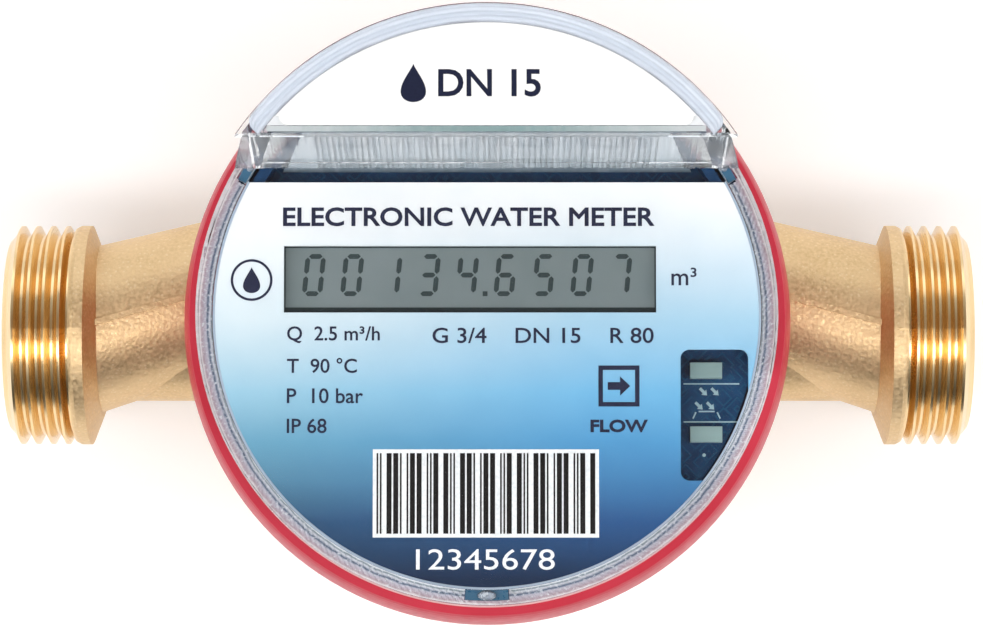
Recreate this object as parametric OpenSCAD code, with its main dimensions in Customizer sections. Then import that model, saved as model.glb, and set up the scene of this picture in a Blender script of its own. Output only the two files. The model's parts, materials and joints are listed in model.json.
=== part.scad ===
// Single-jet meter for hot water, with an electronic register.
// A brass body with threaded pipe ends holds a free-spinning impeller. The register head turns on
// the body: red collar, clear cover with a raised antenna hood, dial, display and circuit board.
// Flow runs along X, the dial reads with +Y upwards, and Z = 0 is the flat foot of the body.

/* [Pipe connections] */
// Face-to-face length of the body
face_to_face = 115; // [108:1:140]
// Height of the pipe axis above the foot
axis_height = 17; // [16:0.5:20]
// Outside diameter of the pipe thread
thread_d = 26.44; // [26:0.02:27]
// Thread pitch
thread_pitch = 1.814; // [1.7:0.002:2]
// Depth of the thread form
thread_depth = 1.16; // [0.8:0.02:1.2]
// Angle of a thread flank
thread_flank = 27.5; // [25:0.5:30]
// Number of thread ridges at each end
thread_turns = 4; // [3:1:5]
// Plain length ahead of the first ridge
thread_lead = 0.6; // [0.6:0.1:1.2]
// Chamfer at the mouth and at the shoulder's front
end_chamfer = 0.6; // [0.4:0.1:0.8]
// Width of the plain shoulder behind the thread
shoulder_w = 1.8; // [1.6:0.1:2.4]
// Length of the cone behind the shoulder
shoulder_cone = 1.3; // [1:0.1:2.2]
// Diameter of the counterbore at each port
port_d = 17; // [15:0.1:18]
// Depth of the counterbore at each port
port_depth = 4.5; // [4:0.1:5]

/* [Casting] */
// Radius of the skewed neck at the thread
neck_r = 9.9; // [9.4:0.1:10.4]
// Radius of the skewed neck at its inner end
neck_end_r = 8.2; // [7.8:0.1:9]
// Sideways place of each neck's inner end, which sets the jet's lever arm
jet_offset = 9.6; // [8:0.1:11]
// Distance of each neck's inner end from the meter's centre along the pipe
neck_reach = 16; // [14:0.5:18]
// Overlap of the neck into the stub
neck_sink = 3.3; // [3:0.1:4]
// Radius of the straight lower web beside each neck
web_r = 7.9; // [7:0.1:8.4]
// Drop of the lower web below the pipe axis
web_drop = 1.6; // [0.5:0.1:3]
// Width of the casting seam on the necks
seam_w = 0.7; // [0.4:0.1:1]
// Height of the casting seam on the necks
seam_h = 0.35; // [0.2:0.05:0.6]
// Outside radius of the chamber
body_r = 26.5; // [26:0.1:27]
// Radius of the flat foot
foot_r = 15; // [12:0.5:18]
// Height of the rounded bowl above the foot
bowl_h = 10; // [8:0.5:12]
// Thickness of the chamber floor
floor_t = 5; // [4.5:0.1:6]
// Wall of the body around the clamp ring
rim_wall = 1.8; // [1.5:0.1:2.2]
// Width of the ledge that carries the pressure plate
plate_ledge = 2.8; // [2.2:0.1:3.4]
// Thickness of the flange that the collar grips
flange_t = 3; // [2.5:0.1:4]
// Chamfer on the flange's upper edge
flange_chamfer = 0.5; // [0.3:0.1:0.8]
// Rise of the rim above the clamp ring
rim_rise = 3; // [2:0.1:4]
// Radius of the water ducts
duct_r = 6; // [5:0.1:6.4]
// Length of the cast flow arrow
arrow_l = 22; // [16:0.5:26]
// Width of the flow arrow's head
arrow_w = 6; // [4:0.5:8]
// Height of the flow arrow above the casting
arrow_h = 0.7; // [0.4:0.1:1]

/* [Strainer] */
// Step from the counterbore to the strainer's bore
strainer_step = 0.5; // [0.3:0.1:0.8]
// Length of the strainer cup
strainer_l = 5.5; // [5:0.1:6]
// Wall of the strainer cup
strainer_wall = 1.2; // [1:0.1:1.6]
// Diameter of the strainer holes
strainer_hole_d = 1.8; // [1.2:0.1:2.2]
// Web between the strainer holes
strainer_web = 0.8; // [0.6:0.1:1.2]

/* [Impeller] */
// Number of vanes
vane_count = 8; // [6:1:10]
// Gap between the vanes' tips and the chamber's wall
vane_gap = 3; // [2:0.1:4]
// Thickness of a vane
vane_t = 1; // [0.8:0.1:1.4]
// Height of the vanes
vane_h = 14; // [12:0.5:16]
// Gap between the chamber floor and the vanes
vane_lift = 3.5; // [3:0.1:4.5]
// Radius of the hub
hub_r = 4.5; // [4:0.1:6]
// Rise of the hub above the vanes
hub_rise = 1; // [0.6:0.1:2]
// Radius of the steel pivots
pivot_r = 0.75; // [0.6:0.05:0.9]
// Depth to which the pivots are pressed in
pivot_press = 2.5; // [2:0.1:3]
// Radius of the jewel bearing
jewel_r = 1.6; // [1.3:0.1:2]
// Thickness of the jewel bearing
jewel_t = 1.6; // [1.4:0.1:2.2]
// Depth of the jewel's cup
jewel_cup = 0.8; // [0.6:0.1:1]
// Radius of the sensed half disc
disc_r = 11; // [9:0.5:13]
// Thickness of the sensed half disc
disc_t = 0.8; // [0.5:0.1:1.2]
// Gap between the half disc and the plate above it
disc_gap = 2.2; // [1.6:0.1:3]

/* [Chamber plate] */
// Thickness of the pressure plate
plate_t = 3.5; // [3.3:0.1:4.5]
// Section radius of the plate's seal
plate_seal_r = 1.15; // [1:0.05:1.2]
// Radius of the upper bearing bush
bush_r = 2; // [1.6:0.1:2.6]
// Thickness of the upper bearing bush
bush_t = 2.4; // [2.2:0.1:3]
// Reach of the upper pivot into its bush
pivot_reach = 1.6; // [1.2:0.1:1.8]
// Land of the clamp ring outside the pressure plate
clamp_land = 1.3; // [0.8:0.1:1.6]
// Width of the clamp ring
clamp_w = 5.6; // [5:0.1:6]
// Thickness of the clamp ring
clamp_t = 3.5; // [2.5:0.1:4]
// Number of spanner slots in the clamp ring
clamp_slots = 4; // [2:1:6]
// Width of a spanner slot
slot_w = 3; // [2:0.1:4]
// Depth of a spanner slot, across and down
slot_d = 2; // [1.5:0.1:2.2]

/* [Collar] */
// Wall of the collar at its upper edge
collar_wall = 0.6; // [0.5:0.1:1.2]
// Bulge of the collar beyond its edges
collar_bulge = 1.5; // [0.8:0.1:2]
// Height of the collar
collar_h = 18; // [17.4:0.1:19]
// Thickness of the lip under the body's flange
lip_t = 1.8; // [1.4:0.1:2]

/* [Register] */
// Height of the dial's underside above the body's rim
dial_up = 15.5; // [15:0.1:17]
// Wall of the register base
base_wall = 1.8; // [1.4:0.1:2.2]
// Thickness of the base's floor
base_floor_t = 1.8; // [1.4:0.1:2]
// Thickness of the sensing well's floor and wall
well_t = 1.5; // [1.2:0.1:1.8]
// Width of the base's seat under the cover
seat_w = 1.4; // [1.2:0.1:1.6]
// Width of the land between the base's side and the body's flange
flange_inset = 0.5; // [0.4:0.1:1]
// Height of the seat above the underside of the base
seat_up = 4.6; // [4.2:0.1:5]
// Thickness of the seat
seat_t = 2.3; // [2:0.1:2.6]
// Section radius of the cover seal
cover_seal_r = 0.68; // [0.5:0.02:0.7]
// Height of the cover seal above the seat
seal_up = 1.6; // [1.4:0.1:1.8]
// Thickness of the circuit board
board_t = 1.6; // [1.2:0.1:2]
// Radius of the three board screws' shanks
screw_r = 0.9; // [0.7:0.05:1.1]
// Length of the screws below the board
screw_grip = 4; // [3:0.5:5]
// Radius of the screw heads
screw_head_r = 1.9; // [1.6:0.1:2.2]
// Height of the screw heads
screw_head_h = 1.2; // [1:0.1:1.6]
// Radius of the board's posts
post_r = 2.2; // [2:0.1:2.6]
// Distance of the posts from the wall of the base
post_inset = 2.8; // [2.6:0.1:3.4]

/* [Clear cover] */
// Outside radius of the cover
cover_r = 32.5; // [32:0.1:33.5]
// Wall of the cover
cover_wall = 1.7; // [1.5:0.1:1.9]
// Thickness of the cover's top
cover_top_t = 2.4; // [2:0.1:3]
// Gap between the dial and the cover's top
dial_gap = 1; // [0.6:0.1:1.6]
// Height of the hood above the cover's top
hood_h = 13.8; // [12:0.2:18]
// Depth of the hood from the back of the cover to its front, at its foot
hood_depth = 16.3; // [15.5:0.1:16.5]
// Lean of the hood's front wall over its height
hood_lean = 2.75; // [1.5:0.05:4]
// Wall of the hood's front
hood_wall = 1.6; // [1.2:0.1:2]
// Overhang of the hood's roof
roof_lip = 0.45; // [0.3:0.05:0.6]
// Height of the overhanging edge of the roof
roof_edge = 1; // [0.6:0.1:1.4]
// Thickness of the hood's roof
roof_t = 2; // [1.6:0.1:2.6]
// Width of the notch around each stud
notch_w = 4.8; // [4:0.1:6]
// Depth of the notch into the cover's wall
notch_d = 1.2; // [1:0.1:1.4]
// Radius of the studs
stud_r = 0.5; // [0.4:0.05:0.5]
// Height of the studs above the seat
stud_h = 8; // [6:0.5:9]

/* [Dial] */
// Thickness of the dial plate
dial_t = 0.8; // [0.5:0.1:1]
// Gap between the dial's straight top edge and the hood's front
dial_shy = 1.3; // [1:0.1:2]
// Width of the display window
window_w = 41.8; // [38:0.1:43]
// Height of the display window
window_h = 7.5; // [6.5:0.1:8]
// Sideways place of the display window
window_x = -1.9; // [-2.5:0.1:-1]
// Place of the display window above the centre
window_y = 4; // [3:0.1:4.5]
// Distance of the optical port window's left edge from the dial's rim
port_in = 8.8; // [8.3:0.1:9.3]
// Width of the optical port window
port_w = 7.6; // [6.6:0.1:8]
// Upper edge of the optical port window
port_top = -3.9; // [-4.4:0.1:-3.4]
// Height of the optical port window
port_h = 14.7; // [13.6:0.1:15.4]
// Corner radius of the optical port window
port_corner = 1; // [0.6:0.1:1.4]
// Height of the part of the port that opens to the dial's edge
port_open_h = 8; // [6:0.1:9]
// Drop of the small step below the port
port_step = 0.9; // [0.5:0.1:1.2]
// Thickness of the name plate
name_t = 0.35; // [0.3:0.05:0.5]
// Clear margin behind the name plate
name_margin = 1.8; // [1.4:0.1:2.4]
// Clear margin in front of the name plate
name_front = 1; // [0.8:0.1:1.4]
// Corner radius of the name plate
name_corner = 1; // [0.6:0.1:1.4]

/* [Electronics] */
// Diameter of the battery
battery_d = 14.5; // [14:0.1:14.8]
// Length of the battery
battery_l = 25; // [24:0.5:26]
// Height of the battery's contact stud
contact_h = 1.2; // [1:0.1:1.5]
// Radius of the battery's contact stud
contact_r = 2.2; // [2:0.1:3]
// Width of the battery tabs
tab_w = 4; // [3:0.1:5]
// Thickness of the battery tabs
tab_t = 0.25; // [0.2:0.05:0.4]
// Length of the battery tabs on the board
tab_foot = 3; // [2:0.1:4]
// Edge of the display glass hidden under the dial
glass_edge = 1; // [0.8:0.1:1.2]
// Thickness of the display glass
glass_t = 1.6; // [1.2:0.1:2]
// Height of the rubber contact strips
strip_h = 1.4; // [1.3:0.1:2]
// Width of the rubber contact strips
strip_w = 1.4; // [1:0.1:1.6]
// Wall of the dial support around the display and along the rim
support_wall = 1.2; // [1:0.1:1.4]
// Width of the dial support's two arms
arm_w = 4; // [3:0.5:5]
// Wall of the antenna carrier
carrier_wall = 1.6; // [1.2:0.1:2]
// Number of grooves on the front of the antenna carrier
rib_count = 60; // [40:1:70]
// Depth of the grooves on the front of the antenna carrier
rib_d = 0.35; // [0.2:0.05:0.5]
// Distance of the antenna board behind the carrier's front wall
antenna_back = 1.2; // [0.8:0.1:2]
// Thickness of the antenna board
antenna_t = 0.8; // [0.6:0.1:1]
// Gap between the antenna board and the top of the carrier
antenna_gap = 2.5; // [1:0.1:4]
// Number of sensing coils
coil_count = 3; // [2:1:4]
// Radius of a sensing coil
coil_r = 4.2; // [3.5:0.1:4.8]
// Radius of the hole in a sensing coil
coil_hole_r = 1.4; // [1:0.1:1.8]
// Height of a sensing coil
coil_h = 3; // [2.4:0.1:3.2]
// Distance of the coils from the meter's centre
coil_place = 8.5; // [8:0.1:10]
// Thickness of the sensor board
sensor_board_t = 1; // [0.8:0.1:1.2]
// Pitch of the pins that link the two boards
link_pitch = 2; // [1.6:0.1:2.54]
// Side of a link pin
link_side = 0.6; // [0.4:0.05:0.8]
// Place of the link pins above the centre of the dial
link_y = 12; // [11:0.1:13]
// Length of the radio module's metal can
radio_l = 16; // [14:0.5:17]
// Width of the radio module's metal can
radio_w = 12; // [10:0.5:12.5]
// Height of the radio module's metal can
radio_h = 2.2; // [1.8:0.1:2.6]
// Sideways place of the radio module's middle
radio_x = -15; // [-16:0.5:-14]
// Side of the microcontroller
chip_side = 9; // [7:0.5:10]
// Height of the microcontroller
chip_h = 1.4; // [1:0.1:1.6]
// Sideways place of the microcontroller's middle
chip_x = 12.5; // [11:0.5:14]
// Place of the microcontroller's middle above the centre of the dial
chip_y = 5.5; // [4.5:0.5:6]
// Length of an optical part
optical_l = 3.6; // [3:0.1:3.8]
// Width of an optical part
optical_w = 1.8; // [1.4:0.1:2.2]
// Height of an optical part
optical_h = 1.3; // [1:0.1:1.8]
// Place of the optical parts from the port window's left edge
optical_in = 1.2; // [0.8:0.1:1.4]
// Drop of the emitter below the port window's upper edge
emitter_drop = 2.2; // [1.8:0.1:2.6]
// Drop of the receiver below the port window's upper edge
receiver_drop = 9.4; // [8.8:0.1:9.6]

/* [Clearances] */
// Running gap between the turning head and the body
swivel_gap = 0.3; // [0.2:0.05:0.4]
// Wider gap around the parts of the head that reach into the body
reach_gap = 0.7; // [0.5:0.05:0.9]
// Gap between pieces that are fitted together
fit_gap = 0.1; // [0.05:0.01:0.15]
// Gap between pieces that are dropped in
drop_gap = 0.2; // [0.15:0.01:0.3]
// Gap between loosely placed pieces
loose_gap = 0.4; // [0.3:0.05:0.5]
// Radial play of a pivot in its bearing
pivot_play = 0.05; // [0.03:0.01:0.08]
// Gap between a seal and the wall that it meets
seal_play = 0.03; // [0.02:0.01:0.05]
// Room on each side of a seal in its groove
seal_room = 0.2; // [0.1:0.05:0.25]

/* [Hidden] */
$fn = 96;
eps = 0.01;
past = 1;
far = 3 * face_to_face;
arc_steps = 16;
seal_fn = 32;
corner_fn = 48;

// Pipe ends, measured inwards from each end face
thread_r = thread_d / 2;
root_r = thread_r - thread_depth;
flank = thread_depth * tan(thread_flank);
crest_w = thread_pitch / 2 - flank;
thread_end = thread_lead + thread_turns * thread_pitch;
shoulder_end = thread_end + shoulder_w;
stub_l = shoulder_end + shoulder_cone;
neck_x = face_to_face / 2 - stub_l + neck_sink;
neck_skew = atan(jet_offset / (neck_x - neck_reach));
neck_l = norm([jet_offset, neck_x - neck_reach]);
strainer_r = port_d / 2 - strainer_step;

// Levels inside the body, from the floor up
vane_z = floor_t + vane_lift;
hub_z = vane_z + vane_h + hub_rise;
plate_z = hub_z + disc_t + disc_gap;
clamp_z = plate_z + plate_t;
clamp_top = clamp_z + clamp_t;
rim_z = clamp_top + rim_rise;
flange_z = rim_z - flange_t;
axle_z = plate_z + pivot_reach;

// Radii inside the body, from its outside inwards
rim_bore_r = body_r - rim_wall;
clamp_r = rim_bore_r - fit_gap;
clamp_bore_r = clamp_r - clamp_w;
plate_r = clamp_r - clamp_land;
seat_bore_r = plate_r + drop_gap;
chamber_r = plate_r - plate_ledge;
vane_r = chamber_r - vane_gap;

// Radii of the turning head, from the cover inwards and outwards
inner_r = cover_r - cover_wall;
upper_r = inner_r - drop_gap;
cavity_r = upper_r - base_wall;
seat_r = cover_r - fit_gap;
base_r = seat_r - seat_w;
flange_r = base_r - flange_inset;
board_r = upper_r - drop_gap;
dial_r = inner_r - drop_gap - fit_gap;
hood_front = cover_r - hood_depth;
dial_top = hood_front - dial_shy;
port_x = dial_r - port_in;
collar_bore_r = cover_r + drop_gap;
collar_edge_r = collar_bore_r + collar_wall;
well_r = clamp_bore_r - reach_gap;
cup_r = rim_bore_r - reach_gap;

// Levels of the turning head
well_z = clamp_z + swivel_gap;
cup_z = clamp_top + swivel_gap;
base_z = rim_z + swivel_gap;
seat_z = base_z + seat_up;
skirt_z = seat_z + seat_t;
dial_z = rim_z + dial_up;
dial_face = dial_z + dial_t;
glass_z = dial_z - loose_gap - glass_t;
board_top = glass_z - strip_h;
board_z = board_top - board_t;
ceiling_z = dial_face + dial_gap;
cover_z = ceiling_z + cover_top_t;
hood_z = cover_z + hood_h;
hood_ceiling = hood_z - roof_t;
seal_z = skirt_z + seal_up;
collar_z = flange_z - swivel_gap - lip_t;
coil_z = well_z + well_t;
sensor_z = coil_z + coil_h;
sensor_top = sensor_z + sensor_board_t;
cell_z = max(cup_z + base_floor_t, sensor_top) + fit_gap + battery_d / 2;
carrier_top = hood_ceiling - drop_gap;
carrier_r = cavity_r - loose_gap;
name_z = hood_z - name_t + eps;

// Display glass, from the window that it stands behind
glass_w = window_w + 2 * glass_edge;
glass_h = window_h + 3 * glass_edge;

// Battery in the cup of the base, clear of its step, and the radio module beside it
cup_in_r = cup_r - base_wall;
step_z = base_z + base_floor_t;
cell_half = sqrt(pow(battery_d / 2, 2) - pow(cell_z - step_z, 2));
battery_y = cell_half - sqrt(pow(cup_in_r - loose_gap, 2) - pow(battery_l / 2, 2));
radio_y = battery_y + (battery_d + radio_w) / 2 + loose_gap;

// Board's posts: two near the wall of the base and one beside the display's surround
post_place = cavity_r - post_inset;
surround_x = window_x + glass_w / 2 + fit_gap + support_wall;
posts = [
    [surround_x + loose_gap + screw_head_r, window_y],
    post_place * [cos(200), sin(200)],
    post_place * [cos(285), sin(285)]
];

// Angles of the studs that stake the cover to its base
stud_angles = [33, 147, 270];

// Mirrors its children to both pipe ends
module both_ends() {
    children();
    mirror([1, 0, 0]) children();
}

// Places its children on the pipe axis at the outlet's end face, with Z pointing inwards
module at_outlet() {
    translate([face_to_face / 2, 0, axis_height]) rotate([0, -90, 0]) children();
}

// Places its children at the start of the outlet's skewed neck, with Z along the neck
module along_neck() {
    translate([neck_x, 0, axis_height]) rotate([0, 0, -neck_skew]) rotate([0, -90, 0]) children();
}

// Thread ridges, plain shoulder and its cone, turned as one stub
module pipe_stub() {
    ridges = [for (i = [0:thread_turns - 1]) let (z = thread_lead + i * thread_pitch) each [
        [root_r, z],
        [thread_r, z + flank],
        [thread_r, z + flank + crest_w],
        [root_r, z + 2 * flank + crest_w]
    ]];
    rotate_extrude() polygon(concat(
        [[0, 0], [root_r - end_chamfer, 0], [root_r, end_chamfer]],
        ridges,
        [[root_r, thread_end], [thread_r - end_chamfer / 2, thread_end],
         [thread_r, thread_end + end_chamfer], [thread_r, shoulder_end],
         [neck_r, stub_l], [0, stub_l]]
    ));
}

// Skewed neck with its casting seam, and the straight web below it
module neck() {
    along_neck() {
        cylinder(r1 = neck_r, r2 = neck_end_r, h = neck_l);
        intersection() {
            cylinder(r1 = neck_r + seam_h, r2 = neck_end_r + seam_h, h = neck_l);
            translate([-far / 2, -seam_w / 2, 0]) cube([far, seam_w, far]);
        }
    }
    translate([neck_x, 0, axis_height - web_drop]) rotate([0, -90, 0])
        cylinder(r = web_r, h = neck_x - neck_reach);
}

// Water way through one end: counterbore, strainer bore and the skewed duct to the chamber
module water_way() {
    at_outlet() {
        translate([0, 0, -past]) cylinder(d = port_d, h = port_depth + past);
        cylinder(r = strainer_r, h = port_depth + strainer_l + drop_gap);
    }
    along_neck() translate([0, 0, -neck_sink]) cylinder(r = duct_r, h = neck_l + neck_sink + duct_r);
}

// Cast flow arrow on the front of the chamber, pointing to the outlet
module flow_arrow() {
    shaft = arrow_w / 3;
    intersection() {
        cylinder(r = body_r + arrow_h, h = flange_z);
        translate([0, 0, axis_height]) rotate([90, 0, 0]) linear_extrude(far) polygon([
            [-arrow_l / 2, -shaft / 2], [arrow_l / 2 - arrow_w, -shaft / 2],
            [arrow_l / 2 - arrow_w, -arrow_w / 2], [arrow_l / 2, 0],
            [arrow_l / 2 - arrow_w, arrow_w / 2], [arrow_l / 2 - arrow_w, shaft / 2],
            [-arrow_l / 2, shaft / 2]
        ]);
    }
}

module meter_body() {
    bowl = [for (i = [0:arc_steps / 2]) let (a = i * 180 / arc_steps)
        [foot_r + (body_r - foot_r) * sin(a), bowl_h * (1 - cos(a))]];
    color("#c9a15e") difference() {
        union() {
            rotate_extrude() polygon(concat(
                [[0, 0]],
                bowl,
                [[body_r, flange_z], [flange_r, flange_z], [flange_r, rim_z - flange_chamfer],
                 [flange_r - flange_chamfer, rim_z], [0, rim_z]]
            ));
            both_ends() {
                at_outlet() pipe_stub();
                neck();
            }
            flow_arrow();
        }
        translate([0, 0, floor_t]) cylinder(r = chamber_r, h = far);
        translate([0, 0, plate_z]) cylinder(r = seat_bore_r, h = far);
        translate([0, 0, clamp_z]) cylinder(r = rim_bore_r, h = far);
        translate([0, 0, floor_t - pivot_press]) cylinder(r = pivot_r, h = far);
        both_ends() water_way();
    }
}

// Perforated cup that stands in the inlet's strainer bore
module inlet_strainer() {
    cup_out_r = strainer_r - fit_gap;
    hole_pitch = strainer_hole_d + strainer_web;
    hole_limit = cup_out_r - strainer_wall - strainer_hole_d / 2;
    rows = ceil(cup_out_r / hole_pitch);
    color("#e8e6de") mirror([1, 0, 0]) at_outlet() translate([0, 0, port_depth]) difference() {
        cylinder(r = cup_out_r, h = strainer_l);
        translate([0, 0, strainer_wall]) cylinder(r = cup_out_r - strainer_wall, h = strainer_l);
        for (i = [-rows:rows]) for (j = [-rows:rows]) {
            x = (i + (j % 2) / 2) * hole_pitch;
            y = j * hole_pitch * sin(60);
            if (norm([x, y]) < hole_limit)
                translate([x, y, -past]) cylinder(d = strainer_hole_d, h = strainer_wall + 2 * past);
        }
    }
}

// Steel pin pressed into the chamber floor, on which the impeller turns
module pivot_pin() {
    shank = pivot_press + vane_lift + jewel_cup - fit_gap - pivot_r / 2;
    color("#b8bcc0") translate([0, 0, floor_t - pivot_press]) {
        cylinder(r = pivot_r, h = shank);
        translate([0, 0, shank]) cylinder(r1 = pivot_r, r2 = pivot_r / 2, h = pivot_r / 2);
    }
}

module impeller() {
    root = hub_r / 2;
    color("#f2efe6") difference() {
        translate([0, 0, vane_z]) {
            cylinder(r = hub_r, h = vane_h + hub_rise);
            for (i = [0:vane_count - 1]) rotate(i * 360 / vane_count)
                translate([root, -vane_t / 2, 0]) cube([vane_r - root, vane_t, vane_h]);
        }
        translate([0, 0, vane_z - past]) cylinder(r = jewel_r, h = jewel_t + past);
        translate([0, 0, hub_z - pivot_press]) cylinder(r = pivot_r, h = far);
    }
}

// Cupped stone in the underside of the hub
module jewel_bearing() {
    color("#b03a5a") translate([0, 0, vane_z]) difference() {
        cylinder(r = jewel_r, h = jewel_t);
        translate([0, 0, -past]) cylinder(r = pivot_r + pivot_play, h = jewel_cup + past);
    }
}

// Steel pin in the top of the hub, guided by the bush in the pressure plate
module impeller_axle() {
    color("#b8bcc0") translate([0, 0, hub_z - pivot_press])
        cylinder(r = pivot_r, h = axle_z - hub_z + pivot_press);
}

// Half disc of metal on top of the hub, which the coils sense as it turns
module coupling_disc() {
    color("#c8ccd0") translate([0, 0, hub_z]) difference() {
        cylinder(r = disc_r, h = disc_t);
        translate([0, 0, -past]) cylinder(r = pivot_r + fit_gap, h = disc_t + 2 * past);
        translate([-far / 2, -far - hub_r / 2, -past]) cube([far, far, disc_t + 2 * past]);
    }
}

// Pressure plate between the wet chamber and the dry register
module chamber_plate() {
    groove_w = 2 * (plate_seal_r + seal_room);
    color("#4a4d52") translate([0, 0, plate_z]) difference() {
        cylinder(r = plate_r, h = plate_t);
        translate([0, 0, -past]) cylinder(r = bush_r, h = bush_t + past);
        translate([0, 0, (plate_t - groove_w) / 2]) difference() {
            cylinder(r = plate_r + past, h = groove_w);
            translate([0, 0, -past]) cylinder(r = plate_r - 2 * plate_seal_r, h = groove_w + 2 * past);
        }
    }
}

// Bearing bush for the impeller's upper pivot
module upper_bush() {
    color("#e8e2c8") translate([0, 0, plate_z]) difference() {
        cylinder(r = bush_r, h = bush_t);
        translate([0, 0, -past]) cylinder(r = pivot_r + pivot_play, h = past + pivot_reach + drop_gap);
    }
}

// O-ring between the pressure plate and the body
module plate_seal() {
    color("#222222") translate([0, 0, plate_z + plate_t / 2]) rotate_extrude()
        translate([seat_bore_r - plate_seal_r - seal_play, 0]) circle(r = plate_seal_r, $fn = seal_fn);
}

// Brass ring screwed down on the pressure plate
module clamp_ring() {
    color("#b8924e") translate([0, 0, clamp_z]) difference() {
        cylinder(r = clamp_r, h = clamp_t);
        translate([0, 0, -past]) cylinder(r = clamp_bore_r, h = clamp_t + 2 * past);
        for (i = [0:clamp_slots - 1]) rotate((i + 0.5) * 360 / clamp_slots)
            translate([0, -slot_w / 2, clamp_t - slot_d]) cube([clamp_bore_r + slot_d, slot_w, far]);
    }
}

// Dark cup of the register: sensing well, seat for the cover, and posts for the board
module register_base() {
    groove_w = 2 * (cover_seal_r + seal_room);
    color("#1f4a5c") difference() {
        union() {
            rotate_extrude() polygon([
                [0, well_z], [well_r, well_z], [well_r, cup_z], [cup_r, cup_z], [cup_r, base_z],
                [base_r, base_z], [base_r, seat_z], [seat_r, seat_z], [seat_r, skirt_z],
                [upper_r, skirt_z], [upper_r, board_z], [cavity_r, board_z],
                [cavity_r, step_z], [cup_in_r, step_z],
                [cup_in_r, cup_z + base_floor_t], [well_r - well_t, cup_z + base_floor_t],
                [well_r - well_t, coil_z], [0, coil_z]
            ]);
            for (p = posts) translate([p.x, p.y, step_z - base_floor_t / 2])
                cylinder(r = post_r, h = board_z - step_z + base_floor_t / 2);
        }
        translate([0, 0, seal_z - groove_w / 2]) difference() {
            cylinder(r = upper_r + past, h = groove_w);
            translate([0, 0, -past])
                cylinder(r = inner_r - 2 * cover_seal_r - seal_room, h = groove_w + 2 * past);
        }
        for (p = posts) translate([p.x, p.y, board_z - screw_grip - drop_gap])
            cylinder(r = screw_r, h = far);
    }
}

// Red collar that holds the register head down on the body's flange
module collar_ring() {
    lip_r = body_r + reach_gap;
    top_z = collar_z + collar_h;
    bulge = [for (i = [0:arc_steps]) let (a = -75 + 150 * i / arc_steps)
        [collar_edge_r + collar_bulge * cos(a), collar_z + collar_h * (1 + sin(a) / sin(75)) / 2]];
    color("#c93448") rotate_extrude() polygon(concat(
        bulge,
        [[collar_bore_r, top_z], [collar_bore_r, seat_z], [base_r + drop_gap, seat_z],
         [base_r + drop_gap, base_z], [flange_r + loose_gap, base_z],
         [flange_r + loose_gap, collar_z + lip_t], [lip_r, collar_z + lip_t], [lip_r, collar_z]]
    ));
}

// Everything behind the hood's leaning front, between two levels and moved back by a distance
module behind_front(back, bottom, top) {
    lean = hood_lean / hood_h;
    front = hood_front + back;
    rotate([90, 0, 90]) translate([0, 0, -far / 2]) linear_extrude(far) polygon([
        [front + (bottom - cover_z) * lean, bottom], [front + (top - cover_z) * lean, top],
        [far, top], [far, bottom]
    ]);
}

// Plan of the name plate on the hood's roof, grown by a gap
module name_outline(gap) {
    arc_r = cover_r - name_margin;
    front = hood_front + hood_lean - roof_lip + name_front;
    corner_y = front + name_corner;
    corner_x = sqrt(pow(arc_r - name_corner, 2) - corner_y * corner_y);
    intersection() {
        circle(r = arc_r + gap);
        union() {
            translate([-far / 2, corner_y]) square([far, far]);
            translate([-corner_x, front - gap]) square([2 * corner_x, name_corner + gap + eps]);
            for (s = [-1, 1]) translate([s * corner_x, corner_y])
                circle(r = name_corner + gap, $fn = corner_fn);
        }
    }
}

module clear_cover() {
    color("#dfe9ee", 0.35) difference() {
        union() {
            translate([0, 0, skirt_z]) cylinder(r = cover_r, h = cover_z - skirt_z);
            intersection() {
                translate([0, 0, ceiling_z]) cylinder(r = cover_r, h = hood_z - ceiling_z);
                behind_front(0, ceiling_z, hood_z);
            }
            intersection() {
                translate([0, 0, hood_z - roof_edge]) cylinder(r = cover_r + roof_lip, h = roof_edge);
                behind_front(-roof_lip, hood_z - roof_edge, hood_z);
            }
        }
        translate([0, 0, skirt_z - past]) cylinder(r = inner_r, h = ceiling_z - skirt_z + past);
        intersection() {
            translate([0, 0, ceiling_z - past])
                cylinder(r = inner_r, h = hood_ceiling - ceiling_z + past);
            behind_front(hood_wall, ceiling_z - past, hood_ceiling);
        }
        translate([0, 0, name_z]) linear_extrude(past) name_outline(fit_gap);
        for (a = stud_angles) rotate(a) translate([inner_r - past, -notch_w / 2, skirt_z - past])
            cube([past + notch_d, notch_w, dial_face - skirt_z + past]);
    }
}

// O-ring between the register base and the cover
module cover_seal() {
    color("#1a1a1a") translate([0, 0, seal_z]) rotate_extrude()
        translate([inner_r - cover_seal_r - seal_play, 0]) circle(r = cover_seal_r, $fn = seal_fn);
}

// Three studs that stake the cover to the base, one in each notch of the cover's wall
module cover_studs() {
    color("#dfe8ea") for (a = stud_angles) rotate(a)
        translate([inner_r + notch_d / 2, 0, skirt_z]) cylinder(r = stud_r, h = stud_h);
}

module main_board() {
    hole_l = battery_l + 2 * (tab_t + loose_gap);
    hole_w = battery_d + 2 * loose_gap;
    color("#174a5a") translate([0, 0, board_z]) difference() {
        cylinder(r = board_r, h = board_t);
        translate([-hole_l / 2, battery_y - hole_w / 2, -past])
            cube([hole_l, hole_w, board_t + 2 * past]);
        for (p = posts) translate([p.x, p.y, -past])
            cylinder(r = screw_r + fit_gap, h = board_t + 2 * past);
    }
}

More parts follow.
